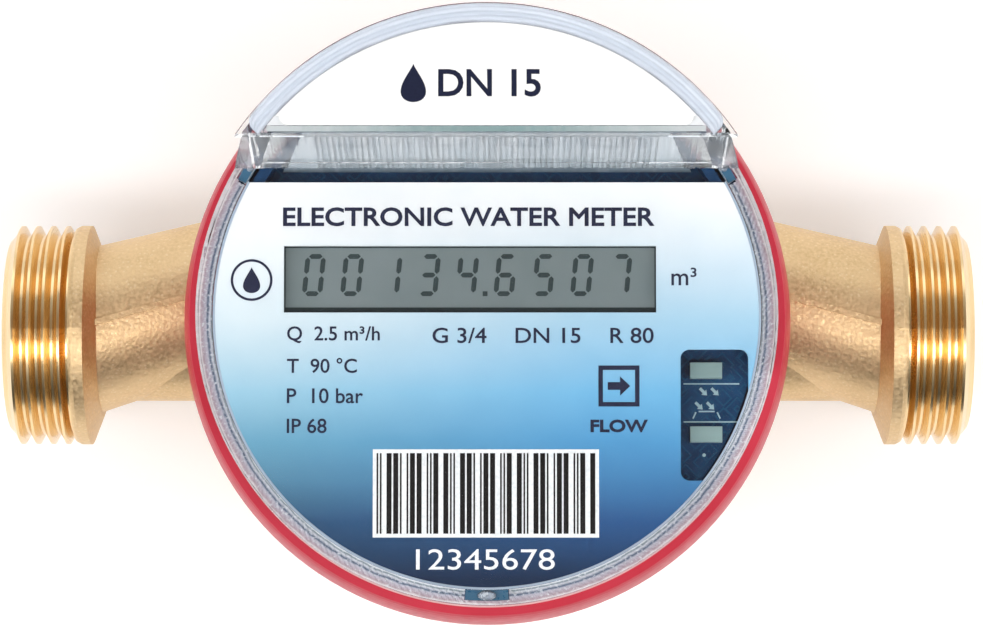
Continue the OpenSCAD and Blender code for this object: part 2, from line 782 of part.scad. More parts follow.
// Three pan-head screws that hold the board to its posts
module board_screws() {
    slot = screw_head_h / 3;
    slot_l = 1.2 * screw_head_r;
    color("#c0c4c8") for (p = posts) translate([p.x, p.y, board_top]) difference() {
        union() {
            translate([0, 0, -board_t - screw_grip])
                cylinder(r = screw_r - pivot_play, h = board_t + screw_grip + eps);
            cylinder(r = screw_head_r, h = screw_head_h);
        }
        for (s = [0, 90]) rotate(s) translate([-slot_l / 2, -slot / 2, screw_head_h / 2])
            cube([slot_l, slot, far]);
    }
}

// Box with its middle at the display window, as wide as the glass plus a rim on each side
module around_glass(rim, bottom, top) {
    w = glass_w + 2 * rim;
    h = glass_h + 2 * rim;
    translate([window_x - w / 2, window_y - h / 2, bottom]) cube([w, h, top - bottom]);
}

// Moulded support under the dial: a rim, two arms and the surround of the display glass
module dial_support() {
    rim_in_r = board_r - support_wall;
    arm_z = board_top + screw_head_h + drop_gap;
    color("#dfe4e6") difference() {
        union() {
            difference() {
                translate([0, 0, board_top]) cylinder(r = board_r, h = dial_z - board_top);
                translate([0, 0, board_top - past]) cylinder(r = rim_in_r, h = far);
            }
            intersection() {
                translate([0, 0, arm_z]) cylinder(r = rim_in_r + support_wall / 2, h = dial_z - arm_z);
                translate([-far / 2, window_y - arm_w / 2, 0]) cube([far, arm_w, far]);
            }
            around_glass(support_wall + fit_gap, board_top, dial_z);
        }
        around_glass(fit_gap, board_top - past, dial_z + past);
        translate([0, 0, board_top - past]) linear_extrude(far) port_outline(loose_gap);
    }
}

module display_glass() {
    color("#8a9492") around_glass(0, glass_z, glass_z + glass_t);
}

// Rubber strips that connect the board to the display glass
module contact_strips() {
    color("#3a3a3a") for (s = [-1, 1])
        translate([window_x - glass_w / 2 + glass_edge,
                   window_y + s * (glass_h / 2 - glass_edge) - strip_w / 2, board_top])
            cube([glass_w - 2 * glass_edge, strip_w, strip_h]);
}

// Plan of the optical port window: a round-cornered slot that opens to the dial's edge
module port_outline(gap) {
    translate([port_x, port_top - port_h]) {
        translate([port_corner, -gap]) square([port_w - 2 * port_corner, port_h + 2 * gap]);
        translate([-gap, port_corner]) square([port_w + 2 * gap, port_h - 2 * port_corner]);
        for (x = [port_corner, port_w - port_corner]) for (y = [port_corner, port_h - port_corner])
            translate([x, y]) circle(r = port_corner + gap, $fn = corner_fn);
        translate([port_w / 2, -gap]) square([far, port_open_h]);
        translate([port_w / 3, -port_step - gap]) square([far, port_open_h]);
    }
}

module dial_plate() {
    color("#8fc1e3") translate([0, 0, dial_z]) linear_extrude(dial_t) difference() {
        intersection() {
            circle(r = dial_r);
            translate([-far / 2, -far + dial_top]) square([far, far]);
        }
        translate([window_x - window_w / 2, window_y - window_h / 2]) square([window_w, window_h]);
        port_outline(0);
    }
}

// Lithium cell lying in the board's cut-out, above the sensing well
module battery() {
    can_l = battery_l - contact_h;
    color("#5a6a78") translate([-battery_l / 2, battery_y, cell_z]) rotate([0, 90, 0]) {
        cylinder(d = battery_d, h = can_l);
        cylinder(r = contact_r, h = battery_l);
    }
}

// Two welded tabs that carry the cell on the board
module battery_tabs() {
    low = cell_z - contact_r;
    color("#c9ccd0") for (s = [0, 1]) translate([0, battery_y, 0]) mirror([s, 0, 0]) {
        translate([battery_l / 2, -tab_w / 2, low]) cube([tab_t, tab_w, board_top + tab_t - low]);
        translate([battery_l / 2, -tab_w / 2, board_top]) cube([tab_foot, tab_w, tab_t]);
    }
}

// White carrier inside the hood: a grooved front wall under a flat top
module antenna_carrier() {
    back = hood_wall + drop_gap;
    front_half = sqrt(carrier_r * carrier_r - pow(hood_front + hood_lean + back, 2));
    rib_pitch = 2 * front_half / (rib_count + 1);
    color("#f4f5f5") difference() {
        intersection() {
            translate([0, 0, board_top]) cylinder(r = carrier_r, h = carrier_top - board_top);
            behind_front(back, board_top, carrier_top);
        }
        behind_front(back + carrier_wall, board_top - past, carrier_top - carrier_wall);
        for (i = [0:rib_count - 1]) intersection() {
            translate([(i - rib_count / 2 + 0.25) * rib_pitch, 0, dial_face])
                cube([rib_pitch / 2, far, carrier_top - dial_face - carrier_wall]);
            difference() {
                behind_front(0, board_top, carrier_top);
                behind_front(back + rib_d, board_top - past, carrier_top + past);
            }
        }
    }
}

// Upright board that carries the antenna, behind the carrier's front wall
module antenna_board() {
    antenna_y = hood_front + hood_lean + hood_wall + drop_gap + carrier_wall + antenna_back;
    half = sqrt(carrier_r * carrier_r - pow(antenna_y + antenna_t, 2)) - loose_gap;
    color("#1d5560") translate([-half, antenna_y, board_top])
        cube([2 * half, antenna_t, carrier_top - carrier_wall - antenna_gap - board_top]);
}

module name_plate() {
    color("white") translate([0, 0, name_z]) linear_extrude(name_t) name_outline(0);
}

// Small board in the well that carries the coils
module sensor_board() {
    color("#174a5a") translate([0, 0, sensor_z])
        cylinder(r = well_r - well_t - drop_gap, h = sensor_board_t);
}

// Flat coils that look down through the well's floor at the half disc
module sensor_coils() {
    color("#b06a3a") for (i = [0:coil_count - 1]) rotate(90 + i * 360 / coil_count)
        translate([coil_place, 0, coil_z]) difference() {
            cylinder(r = coil_r, h = coil_h);
            translate([0, 0, -past]) cylinder(r = coil_hole_r, h = coil_h + 2 * past);
        }
}

// Row of pins between the sensor board and the main board
module board_link() {
    color("#d0b060") for (i = [-2:2])
        translate([i * link_pitch - link_side / 2, link_y - link_side / 2, sensor_top])
            cube([link_side, link_side, board_z - sensor_top]);
}

// Radio modem under its metal can, on the underside of the board
module radio_module() {
    color("#c4c8cc") translate([radio_x - radio_l / 2, radio_y - radio_w / 2, board_z - radio_h])
        cube([radio_l, radio_w, radio_h]);
}

module microcontroller() {
    color("#2a2a2e") translate([chip_x - chip_side / 2, chip_y - chip_side / 2, board_z - chip_h])
        cube([chip_side, chip_side, chip_h]);
}

// One part of the optical port, seen through its window in the dial
module optical_part(drop) {
    color("#b9c2a4") translate([port_x + optical_in, port_top - drop - optical_w / 2, board_top])
        cube([optical_l, optical_w, optical_h]);
}

module optical_emitter() {
    optical_part(emitter_drop);
}

module optical_receiver() {
    optical_part(receiver_drop);
}

meter_body();
inlet_strainer();
pivot_pin();
impeller();
jewel_bearing();
impeller_axle();
coupling_disc();
chamber_plate();
upper_bush();
plate_seal();
clamp_ring();
register_base();
collar_ring();
clear_cover();
cover_seal();
cover_studs();
main_board();
board_screws();
dial_support();
display_glass();
contact_strips();
dial_plate();
battery();
battery_tabs();
antenna_carrier();
antenna_board();
name_plate();
sensor_board();
sensor_coils();
board_link();
radio_module();
microcontroller();
optical_emitter();
optical_receiver();
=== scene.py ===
"""Looks of a single-jet water meter: materials, dial print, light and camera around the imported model."""

import json
import math

import bmesh
import bpy
from mathutils import Matrix, Vector


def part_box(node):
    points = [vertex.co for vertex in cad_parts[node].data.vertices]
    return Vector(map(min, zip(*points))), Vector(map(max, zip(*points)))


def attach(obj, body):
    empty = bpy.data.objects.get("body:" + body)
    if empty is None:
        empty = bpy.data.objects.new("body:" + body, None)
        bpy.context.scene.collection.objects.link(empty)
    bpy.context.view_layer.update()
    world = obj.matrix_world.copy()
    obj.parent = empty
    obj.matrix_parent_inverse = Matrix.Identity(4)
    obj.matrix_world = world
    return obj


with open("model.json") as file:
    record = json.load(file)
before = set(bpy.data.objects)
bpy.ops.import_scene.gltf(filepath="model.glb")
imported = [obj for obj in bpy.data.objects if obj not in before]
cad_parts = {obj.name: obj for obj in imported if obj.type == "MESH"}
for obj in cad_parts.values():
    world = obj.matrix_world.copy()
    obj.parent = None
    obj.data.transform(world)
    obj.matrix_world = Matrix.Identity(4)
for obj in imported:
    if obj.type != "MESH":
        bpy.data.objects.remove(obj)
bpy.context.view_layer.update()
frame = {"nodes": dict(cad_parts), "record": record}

MM = 0.001

# The photograph's frame, and how it was taken: nearly straight down, from a little to the front
PHOTO_W = 983
PHOTO_H = 631
FOCAL_PX = 4135
SENSOR_MM = 36
CAMERA_DISTANCE = 500 * MM
CAMERA_LEAN_X = math.radians(0.25)
CAMERA_LEAN_Y = math.radians(-3.86)
AXIS_PX = (488.5, 335)

# Places that the frame gives
DIAL_LOW, DIAL_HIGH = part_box("dial_plate")
GLASS_LOW, GLASS_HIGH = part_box("display_glass")
BOARD_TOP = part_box("main_board")[1].z
NAME_LOW, NAME_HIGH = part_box("name_plate")
COVER_LOW, COVER_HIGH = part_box("clear_cover")
COLLAR_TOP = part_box("collar_ring")[1].z
CARRIER_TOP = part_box("antenna_carrier")[1].z
EMITTER_LOW, EMITTER_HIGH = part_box("optical_emitter")
RECEIVER_LOW, RECEIVER_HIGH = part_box("optical_receiver")
PIPE_AXIS_Z = (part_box("inlet_strainer")[0].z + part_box("inlet_strainer")[1].z) / 2
BODY_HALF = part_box("meter_body")[1].x

# Display window in the dial, which hides a margin of the glass
GLASS_MARGIN_X = 1 * MM
GLASS_MARGIN_Y = 1.5 * MM
WINDOW_LOW = Vector((GLASS_LOW.x + GLASS_MARGIN_X, GLASS_LOW.y + GLASS_MARGIN_Y))
WINDOW_HIGH = Vector((GLASS_HIGH.x - GLASS_MARGIN_X, GLASS_HIGH.y - GLASS_MARGIN_Y))

# Clear cover's wall, the rounding of its edges, and the three notches in it
COVER_OUT_R = -COVER_LOW.y
COVER_WALL = 1.7 * MM
COVER_IN_R = COVER_OUT_R - COVER_WALL
COVER_EDGE = 0.3 * MM
FLAT_TOP = DIAL_HIGH.z + 3.4 * MM
HOOD_FRONT = 20.6 * MM
NOTCH_ANGLES = [math.radians(a) for a in (33, 147, 270)]
NOTCH_HALF = 2.45 * MM
NOTCH_DEPTH = 1.2 * MM

# Thickness of print, and the distance within which points count as one
PRINT_DEPTH = 0.03 * MM
ONE_POINT = 0.001 * MM

# Share at each end of a noise's range that few of its values reach
NOISE_TAIL = 0.3


def linear(red, green, blue):
    """A screen colour from 0 to 255 as the renderer's linear light."""
    shares = [value / 255 for value in (red, green, blue)]
    return tuple(s / 12.92 if s <= 0.04045 else ((s + 0.055) / 1.055) ** 2.4 for s in shares)


# Times brighter that the studio's light makes a matt surface than its own pigment
STUDIO_LIGHT = 1.4


def seen(red, green, blue):
    """The pigment that shows as a screen colour in the studio's light."""
    return tuple(share / STUDIO_LIGHT for share in linear(red, green, blue))


def shades(colour, share):
    """A darker and a lighter shade of a colour."""
    return tuple(c * (1 - share) for c in colour), tuple(min(1, c * (1 + share)) for c in colour)


def fill_ramp(node, stops):
    """Gives a colour ramp its row of (place, colour) stops."""
    row = node.color_ramp.elements
    for element, (place, colour) in zip((row[0], row[1]), (stops[0], stops[-1])):
        element.position = place
        element.color = (*colour, 1)
    for place, colour in stops[1:-1]:
        row.new(place).color = (*colour, 1)


class Look:
    """A node material: its Principled shader, and short calls that add nodes to it."""

    def __init__(self, name, **settings):
        self.material = bpy.data.materials.new(name)
        self.material.use_nodes = True
        self.nodes = self.material.node_tree.nodes
        self.links = self.material.node_tree.links
        self.shader = self.nodes["Principled BSDF"]
        self.place = self.node("ShaderNodeTexCoord").outputs["Object"]
        self.normal = None
        for socket, value in settings.items():
            self.feed(socket.replace("_", " "), value)

    def node(self, kind, **settings):
        made = self.nodes.new(kind)
        for name, value in settings.items():
            setattr(made, name, value)
        return made

    def feed(self, name, value):
        """Sets one of the shader's sockets, from a constant or from another node."""
        self.put(self.shader.inputs[name], value)

    def put(self, socket, value):
        if isinstance(value, bpy.types.NodeSocket):
            self.links.new(value, socket)
        elif isinstance(value, tuple) and len(value) == 3 and socket.type == "RGBA":
            socket.default_value = (*value, 1)
        else:
            socket.default_value = value

    def axis(self, name):
        """One coordinate of the surface point, in metres."""
        parts = self.node("ShaderNodeSeparateXYZ")
        self.put(parts.inputs[0], self.place)
        return parts.outputs[name]

    def math(self, operation, first, second=0.0):
        made = self.node("ShaderNodeMath", operation=operation)
        self.put(made.inputs[0], first)
        self.put(made.inputs[1], second)
        return made.outputs[0]

    def radius(self):
        """Distance of the surface point from the upright axis, in metres."""
        x, y = self.axis("X"), self.axis("Y")
        squares = self.math("ADD", self.math("MULTIPLY", x, x), self.math("MULTIPLY", y, y))
        return self.math("SQRT", squares)

    def spread(self, value, low, high, to_low=0.0, to_high=1.0):
        """Maps a value from one range to another, held at both ends."""
        made = self.node("ShaderNodeMapRange")
        ends = {"From Min": low, "From Max": high, "To Min": to_low, "To Max": to_high}
        for name, number in ends.items():
            self.put(made.inputs[name], number)
        self.put(made.inputs["Value"], value)
        return made.outputs["Result"]

    def stretched(self, size, stretch):
        """Surface coordinates counted in grains of a size, drawn out along each axis."""
        made = self.node("ShaderNodeMapping")
        made.inputs["Scale"].default_value = [1 / (size * factor) for factor in stretch]
        self.put(made.inputs["Vector"], self.place)
        return made.outputs["Vector"]

    def noise(self, size, detail=2.0, stretch=(1, 1, 1)):
        made = self.node("ShaderNodeTexNoise")
        self.put(made.inputs["Vector"], self.stretched(size, stretch))
        self.put(made.inputs["Scale"], 1.0)
        self.put(made.inputs["Detail"], detail)
        return made.outputs["Fac"]

    def cells(self, size, distance="EUCLIDEAN"):
        """Distance to the nearest of scattered points, counted in cells of a size."""
        made = self.node("ShaderNodeTexVoronoi", feature="F1", distance=distance)
        self.put(made.inputs["Vector"], self.stretched(size, (1, 1, 1)))
        self.put(made.inputs["Scale"], 1.0)
        return made.outputs["Distance"]

    def mix(self, share, first, second):
        """A colour between two others."""
        made = self.node("ShaderNodeMix", data_type="RGBA")
        self.put(made.inputs[0], share)
        self.put(made.inputs[6], first)
        self.put(made.inputs[7], second)
        return made.outputs[2]

    def blend(self, share, first, second):
        """A number between two others."""
        made = self.node("ShaderNodeMix", data_type="FLOAT")
        self.put(made.inputs[0], share)
        self.put(made.inputs[2], first)
        self.put(made.inputs[3], second)
        return made.outputs[0]

    def ramp(self, value, stops):
        """A colour along a row of (place, colour) stops."""
        made = self.node("ShaderNodeValToRGB")
        fill_ramp(made, stops)
        self.put(made.inputs["Fac"], value)
        return made.outputs["Color"]

    def vary(self, noise, low, high):
        """A number that follows a noise from one value to another."""
        return self.spread(noise, NOISE_TAIL, 1 - NOISE_TAIL, low, high)

    def vary_colour(self, noise, first, second, tail=NOISE_TAIL):
        """A colour that follows a noise from one colour to another."""
        return self.ramp(noise, [(tail, first), (1 - tail, second)])

    def bump(self, height, depth):
        """Lays a height of so many metres on top of any bump that is there already."""
        made = self.node("ShaderNodeBump")
        made.inputs["Strength"].default_value = 1.0
        made.inputs["Distance"].default_value = depth
        self.put(made.inputs["Height"], height)
        if self.normal:
            self.put(made.inputs["Normal"], self.normal)
        self.normal = made.outputs["Normal"]
        self.feed("Normal", self.normal)


# Materials, one function each

# Bright cut thread: its length from the end faces, and how wide it blends into the cast skin
TURNED_LENGTH = 8.0 * MM
TURNED_BLEND = 0.4 * MM


def cast_brass():
    """Pitted casting with pale painted specks where light would glint off the grain, and bright cut threads
    at both ends.
    """
    look = Look("cast_brass", Metallic=1.0)
    reach = look.math("ABSOLUTE", look.axis("X"))
    turned_from = BODY_HALF - TURNED_LENGTH
    turned = look.spread(reach, turned_from - TURNED_BLEND / 2, turned_from + TURNED_BLEND / 2)
    patches = look.noise(7 * MM, 3)
    grain = look.noise(0.4 * MM, 4)
    pits = look.cells(0.6 * MM)
    rings = look.noise(0.22 * MM, 2, (1, 60, 60))
    cast = look.vary_colour(patches, (0.62, 0.43, 0.22), (0.73, 0.53, 0.30))
    grained = look.mix(look.spread(grain, 0.35, 0.7), cast, (0.80, 0.61, 0.36))
    # Painted glint: pale specks at the pits' centres, standing in for light caught by the cast grain
    painted_glints = look.spread(pits, 0.10, 0.30, 0.30, 0.0)
    grained_with_painted_glints = look.mix(painted_glints, grained, (0.97, 0.83, 0.58))
    lathe = look.vary_colour(rings, (0.78, 0.56, 0.30), (0.86, 0.66, 0.38))
    look.feed("Base Color", look.mix(turned, grained_with_painted_glints, lathe))
    cast_rough = look.vary(grain, 0.38, 0.62)
    turned_rough = look.vary(rings, 0.16, 0.30)
    look.feed("Roughness", look.blend(turned, cast_rough, turned_rough))
    rough_side = look.math("SUBTRACT", 1.0, turned)
    look.bump(look.math("MULTIPLY", grain, rough_side), 0.04 * MM)
    look.bump(look.math("MULTIPLY", pits, rough_side), 0.03 * MM)
    look.bump(look.math("MULTIPLY", rings, turned), 0.012 * MM)
    return look.material


def turned_metal(name, colour, roughness):
    """Turned or ground metal with fine rings about the upright axis."""
    look = Look(name, Metallic=1.0)
    rings = look.noise(0.2 * MM, 2, (30, 30, 1))
    look.feed("Base Color", look.vary_colour(rings, *shades(colour, 0.12)))
    look.feed("Roughness", look.vary(rings, roughness * 0.8, roughness * 1.3))
    look.bump(rings, 0.01 * MM)
    return look.material


def moulded(name, colour, roughness, grain=0.35 * MM, depth=0.008 * MM, gloss=0.5):
    """Moulded plastic or rubber with a faint grain and slight changes of shade."""
    look = Look(name, Specular_IOR_Level=gloss)
    clouds = look.noise(6 * MM, 3)
    skin = look.noise(grain, 2)
    look.feed("Base Color", look.vary_colour(clouds, *shades(colour, 0.06), tail=0.25))
    look.feed("Roughness", look.vary(skin, roughness * 0.85, roughness * 1.2))
    look.bump(skin, depth)
    return look.material


def red_plastic():
    look = Look("red_plastic", Specular_IOR_Level=0.15)
    clouds = look.noise(9 * MM, 2)
    peel = look.noise(1.2 * MM, 2)
    shade = look.vary_colour(clouds, seen(216, 54, 72), seen(226, 66, 86), tail=0.25)
    look.feed("Base Color", shade)
    look.feed("Roughness", look.vary(peel, 0.34, 0.42))
    look.bump(peel, 0.0008 * MM)
    return look.material


def let_light_through(look):
    """Lamps shine through the clear material, so what lies behind it is lit."""
    shadow_ray = look.node("ShaderNodeLightPath").outputs["Is Shadow Ray"]
    clear = look.node("ShaderNodeBsdfTransparent")
    both = look.node("ShaderNodeMixShader")
    look.put(both.inputs[0], shadow_ray)
    look.links.new(look.shader.outputs[0], both.inputs[1])
    look.links.new(clear.outputs[0], both.inputs[2])
    look.links.new(both.outputs[0], look.nodes["Material Output"].inputs["Surface"])


# How far the streaks of the hood's front wall take to fade in above the flat, and out behind the wall
STREAK_FADE_Z = 0.4 * MM
STREAK_FADE_Y = 0.5 * MM


def clear_plastic():
    """Clear moulding, with fine upright streaks down the hood's front wall."""
    look = Look("clear_plastic", Transmission_Weight=1.0, IOR=1.33)
    haze = look.noise(4 * MM, 2)
    streaks = look.noise(0.5 * MM, 2, (1, 60, 60))
    above = look.spread(look.axis("Z"), FLAT_TOP, FLAT_TOP + STREAK_FADE_Z)
    ahead = look.spread(look.axis("Y"), HOOD_FRONT - STREAK_FADE_Y, HOOD_FRONT, 1.0, 0.0)
    front = look.math("MULTIPLY", above, ahead)
    tint = look.vary_colour(haze, (0.93, 0.96, 0.98), (0.98, 0.99, 1.0))
    look.feed("Base Color", tint)
    look.feed("Roughness", look.blend(front, look.vary(haze, 0.0, 0.03), 0.10))
    look.bump(haze, 0.004 * MM)
    look.bump(look.math("MULTIPLY", streaks, front), 0.06 * MM)
    let_light_through(look)
    return look.material


def weld_seam():
    """Pale seam along the foot of the clear wall, with white, grey, dark blue and pink lines across its
    width.
    """
    look = Look("weld_seam", Roughness=0.35)
    wander = look.spread(look.noise(1.5 * MM, 3), 0.0, 1.0, -0.18 * MM, 0.18 * MM)
    share = look.spread(look.math("ADD", look.radius(), wander), COVER_IN_R, COVER_OUT_R)
    lines = look.ramp(share, [
        (0.04, seen(236, 242, 248)),
        (0.14, seen(112, 128, 138)),
        (0.26, seen(214, 216, 226)),
        (0.42, seen(52, 80, 112)),
        (0.54, seen(196, 194, 208)),
        (0.84, seen(184, 160, 170)),
        (0.97, seen(250, 240, 242)),
    ])
    flecks = look.spread(look.noise(0.35 * MM, 2), 0.54, 0.80)
    look.feed("Base Color", look.mix(flecks, lines, seen(240, 243, 248)))
    look.bump(flecks, 0.02 * MM)
    return look.material


def rim_plastic():
    """Pale lavender strip with grey edges and faint lines along its arc."""
    look = Look("rim_plastic", Roughness=0.35)
    share = look.spread(look.radius(), NAME_HIGH.y, COVER_HIGH.y)
    clouds = look.vary(look.noise(5 * MM, 2), -0.05, 0.05)
    look.feed("Base Color", look.ramp(look.math("ADD", share, clouds), [
        (0.04, seen(176, 180, 190)),
        (0.16, seen(216, 223, 235)),
        (0.50, seen(208, 217, 230)),
        (0.62, seen(222, 229, 240)),
        (0.84, seen(214, 221, 233)),
        (0.98, seen(186, 189, 198)),
    ]))
    return look.material


# Distances from the middle of the name plate's front strip, where it starts to pale and where it is palest
BROW_GREEN_TO = 4 * MM
BROW_PALE_FROM = 22 * MM


def brow_painted_light():
    """Grey-green strip of painted light over the shade under the roof's front edge, streaked upright, that
    pales towards its two ends.
    """
    look = Look("brow_painted_light", Roughness=0.4)
    reach = look.math("ABSOLUTE", look.axis("X"))
    streaks = look.vary(look.noise(0.7 * MM, 3, (1, 40, 40)), -3 * MM, 3 * MM)
    share = look.spread(look.math("ADD", reach, streaks), BROW_GREEN_TO, BROW_PALE_FROM)
    look.feed("Base Color", look.ramp(share, [(0.0, seen(142, 170, 170)), (1.0, seen(212, 217, 218))]))
    return look.material


def frosted_plastic():
    """Half clear plastic, clouded where it was pressed."""
    look = Look("frosted_plastic", Transmission_Weight=0.5, IOR=1.4)
    clouds = look.noise(0.5 * MM, 3)
    look.feed("Base Color", look.vary_colour(clouds, seen(170, 186, 206), seen(232, 238, 246)))
    look.feed("Roughness", look.vary(clouds, 0.15, 0.35))
    look.bump(clouds, 0.08 * MM)
    return look.material


def carrier_plastic():
    """White carrier with painted shade that greys it towards its foot, streaked upright by the light
    between its grooves.
    """
    look = Look("carrier_plastic", Roughness=0.4)
    rise = look.spread(look.axis("Z"), DIAL_HIGH.z, CARRIER_TOP)
    streaks = look.vary(look.noise(0.7 * MM, 3, (1, 40, 40)), -0.3, 0.3)
    # Painted shade: greyer towards the foot, white at the top
    look.feed("Base Color", look.ramp(look.math("ADD", rise, streaks), [
        (0.0, seen(172, 190, 202)),
        (0.5, seen(218, 228, 236)),
        (1.0, seen(248, 250, 252)),
    ]))
    return look.material


def circuit_board():
    """Blue lacquer over faint raised tracks."""
    look = Look("circuit_board", Coat_Weight=0.1, Coat_Roughness=0.15, Specular_IOR_Level=0.15)
    tracks = look.cells(2.2 * MM, "MANHATTAN")
    copper = look.spread(look.math("PINGPONG", tracks, 0.22), 0.14, 0.18)
    clouds = look.noise(3 * MM, 3)
    mask = look.vary_colour(clouds, seen(6, 52, 88), seen(14, 72, 114))
    look.feed("Base Color", look.mix(copper, mask, seen(18, 76, 112)))
    look.feed("Roughness", look.vary(clouds, 0.3, 0.45))
    look.bump(copper, 0.03 * MM)
    return look.material


def display_face():
    look = Look("display_face", Specular_IOR_Level=0.3)
    clouds = look.noise(8 * MM, 2)
    fine = look.noise(0.25 * MM, 1)
    look.feed("Base Color", look.vary_colour(clouds, seen(116, 128, 128), seen(124, 135, 136)))
    look.feed("Roughness", look.vary(fine, 0.35, 0.5))
    look.bump(fine, 0.003 * MM)
    return look.material


# Places across the dial between which its left-hand blue turns into the right-hand one
BLUE_LEFT_TO = -24 * MM
BLUE_RIGHT_FROM = 12 * MM


def printed_dial():
    """White at the top to dark blue at the bottom, sooner and bluer on the right than on the left."""
    look = Look("printed_dial", Specular_IOR_Level=0.15)
    dots = look.noise(0.3 * MM, 2)
    fall = look.math("SUBTRACT", DIAL_HIGH.y, look.axis("Y"))
    grainy = look.math("ADD", fall, look.spread(dots, 0.0, 1.0, -0.12 * MM, 0.12 * MM))
    share = look.spread(grainy, 0.0, DIAL_HIGH.y - DIAL_LOW.y)
    left = look.ramp(share, [
        (0.10, seen(252, 253, 254)),
        (0.34, seen(224, 238, 244)),
        (0.52, seen(158, 203, 224)),
        (0.64, seen(108, 166, 193)),
        (0.84, seen(42, 80, 114)),
        (0.98, seen(10, 36, 66)),
    ])
    right = look.ramp(share, [
        (0.06, seen(251, 253, 254)),
        (0.34, seen(174, 213, 235)),
        (0.52, seen(118, 187, 228)),
        (0.64, seen(84, 156, 205)),
        (0.84, seen(38, 84, 136)),
        (0.98, seen(10, 40, 72)),
    ])
    sideways = look.spread(look.axis("X"), BLUE_LEFT_TO, BLUE_RIGHT_FROM)
    look.feed("Base Color", look.mix(sideways, left, right))
    look.feed("Roughness", look.vary(dots, 0.42, 0.55))
    look.bump(dots, 0.004 * MM)
    return look.material


def ink(name, colour):
    """Printing ink with a slightly uneven coat."""
    look = Look(name, Specular_IOR_Level=0.15)
    coat = look.noise(0.4 * MM, 2)
    look.feed("Base Color", look.vary_colour(coat, *shades(colour, 0.10)))
    look.feed("Roughness", look.vary(coat, 0.4, 0.55))
    return look.material


def studio_floor():
    """White paper, with a little light of its own that keeps it white in the shade."""
    look = Look("studio_floor", Roughness=0.9, Emission_Color=(0.95, 0.97, 1.0), Emission_Strength=0.2)
    clouds = look.noise(120 * MM, 2)
    look.feed("Base Color", look.vary_colour(clouds, (0.94, 0.94, 0.94), (0.96, 0.96, 0.96)))
    return look.material


LOOKS = {
    "cast_brass": cast_brass(),
    "turned_brass": turned_metal("turned_brass", (0.80, 0.58, 0.26), 0.25),
    "steel": turned_metal("steel", (0.60, 0.61, 0.63), 0.25),
    "jewel": moulded("jewel", (0.45, 0.03, 0.10), 0.12),
    "white_plastic": moulded("white_plastic", (0.80, 0.80, 0.77), 0.4),
    "grey_plastic": moulded("grey_plastic", (0.60, 0.62, 0.63), 0.45),
    "dark_plastic": moulded("dark_plastic", seen(0, 52, 90), 0.45, gloss=0.15),
    "red_plastic": red_plastic(),
    "clear_plastic": clear_plastic(),
    "seal_rubber": moulded("seal_rubber", (0.02, 0.02, 0.022), 0.6),
    "circuit_board": circuit_board(),
    "display_glass": display_face(),
    "dial": printed_dial(),
    "battery_sleeve": moulded("battery_sleeve", (0.10, 0.16, 0.22), 0.35),
    "white_gloss": moulded("white_gloss", (0.93, 0.94, 0.94), 0.25, 0.6 * MM, 0.003 * MM),
    "copper": turned_metal("copper", (0.62, 0.30, 0.16), 0.35),
    "metal_can": turned_metal("metal_can", (0.66, 0.67, 0.69), 0.3),
    "chip": moulded("chip", (0.03, 0.03, 0.035), 0.5),
    "optical_parts": moulded("optical_parts", seen(140, 168, 166), 0.4),
}
NODE_LOOKS = {"antenna_carrier": carrier_plastic()}
NAVY_INK = ink("navy_ink", seen(32, 38, 66))
WHITE_INK = ink("white_ink", seen(252, 253, 253))
BLACK_INK = ink("black_ink", seen(12, 12, 16))
DISPLAY_INK = ink("display_ink", seen(52, 66, 68))
# Dark ink for the display film's edge and for the painted shadow of the window's recess
EDGE_AND_SHADOW_INK = ink("display_edge_shadow_ink", seen(44, 58, 62))
BOARD_INK = ink("board_ink", seen(170, 200, 206))


def dress_frame():
    """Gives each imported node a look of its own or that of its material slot."""
    for part in frame["record"]["subparts"]:
        mesh = frame["nodes"][part["node"]].data
        mesh.materials.clear()
        mesh.materials.append(NODE_LOOKS.get(part["node"]) or LOOKS[part["material_slot"]])


def soften_edges(node, width, angle=35):
    """Rounds a node's sharp edges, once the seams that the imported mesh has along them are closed."""
    body = frame["nodes"][node]
    weld = body.modifiers.new("close_seams", "WELD")
    weld.merge_threshold = ONE_POINT
    bevel = body.modifiers.new("soft_edges", "BEVEL")
    bevel.width = width
    bevel.segments = 2
    bevel.limit_method = "ANGLE"
    bevel.angle_limit = math.radians(angle)
    bevel.harden_normals = True


# Objects and meshes, built from outlines and rows of points


def new_object(name, data):
    """An object in the scene, from a mesh, lettering, a lamp or a lens."""
    made = bpy.data.objects.new(name, data)
    bpy.context.scene.collection.objects.link(made)
    return made


def piece_from(mesh, material, body="head"):
    """Makes a mesh a piece of the same name that rides on a body."""
    mesh.materials.append(material)
    piece = new_object(mesh.name, mesh)
    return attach(piece, body)


def finish_mesh(made, name):
    """Turns a mesh under construction into a finished one with its faces outwards."""
    bmesh.ops.recalc_face_normals(made, faces=made.faces)
    mesh = bpy.data.meshes.new(name)
    made.to_mesh(mesh)
    made.free()
    return mesh


def join_rows(made, rows):
    """Faces between each closed row of points and the next, with no point twice in a face."""
    for first, second in zip(rows, rows[1:]):
        count = len(first)
        for k in range(count):
            after = (k + 1) % count
            corners = (first[k], first[after], second[after], second[k])
            made.faces.new(list(dict.fromkeys(corners)))


def flat_mesh(name, outlines, level, depth=PRINT_DEPTH):
    """One mesh of flat plates, each from an outline of points in the plane, standing on a level."""
    made = bmesh.new()
    for outline in outlines:
        low = [made.verts.new((x, y, level)) for x, y in outline]
        high = [made.verts.new((x, y, level + depth)) for x, y in outline]
        made.faces.new(high)
        made.faces.new(list(reversed(low)))
        join_rows(made, [low, high])
    return finish_mesh(made, name)


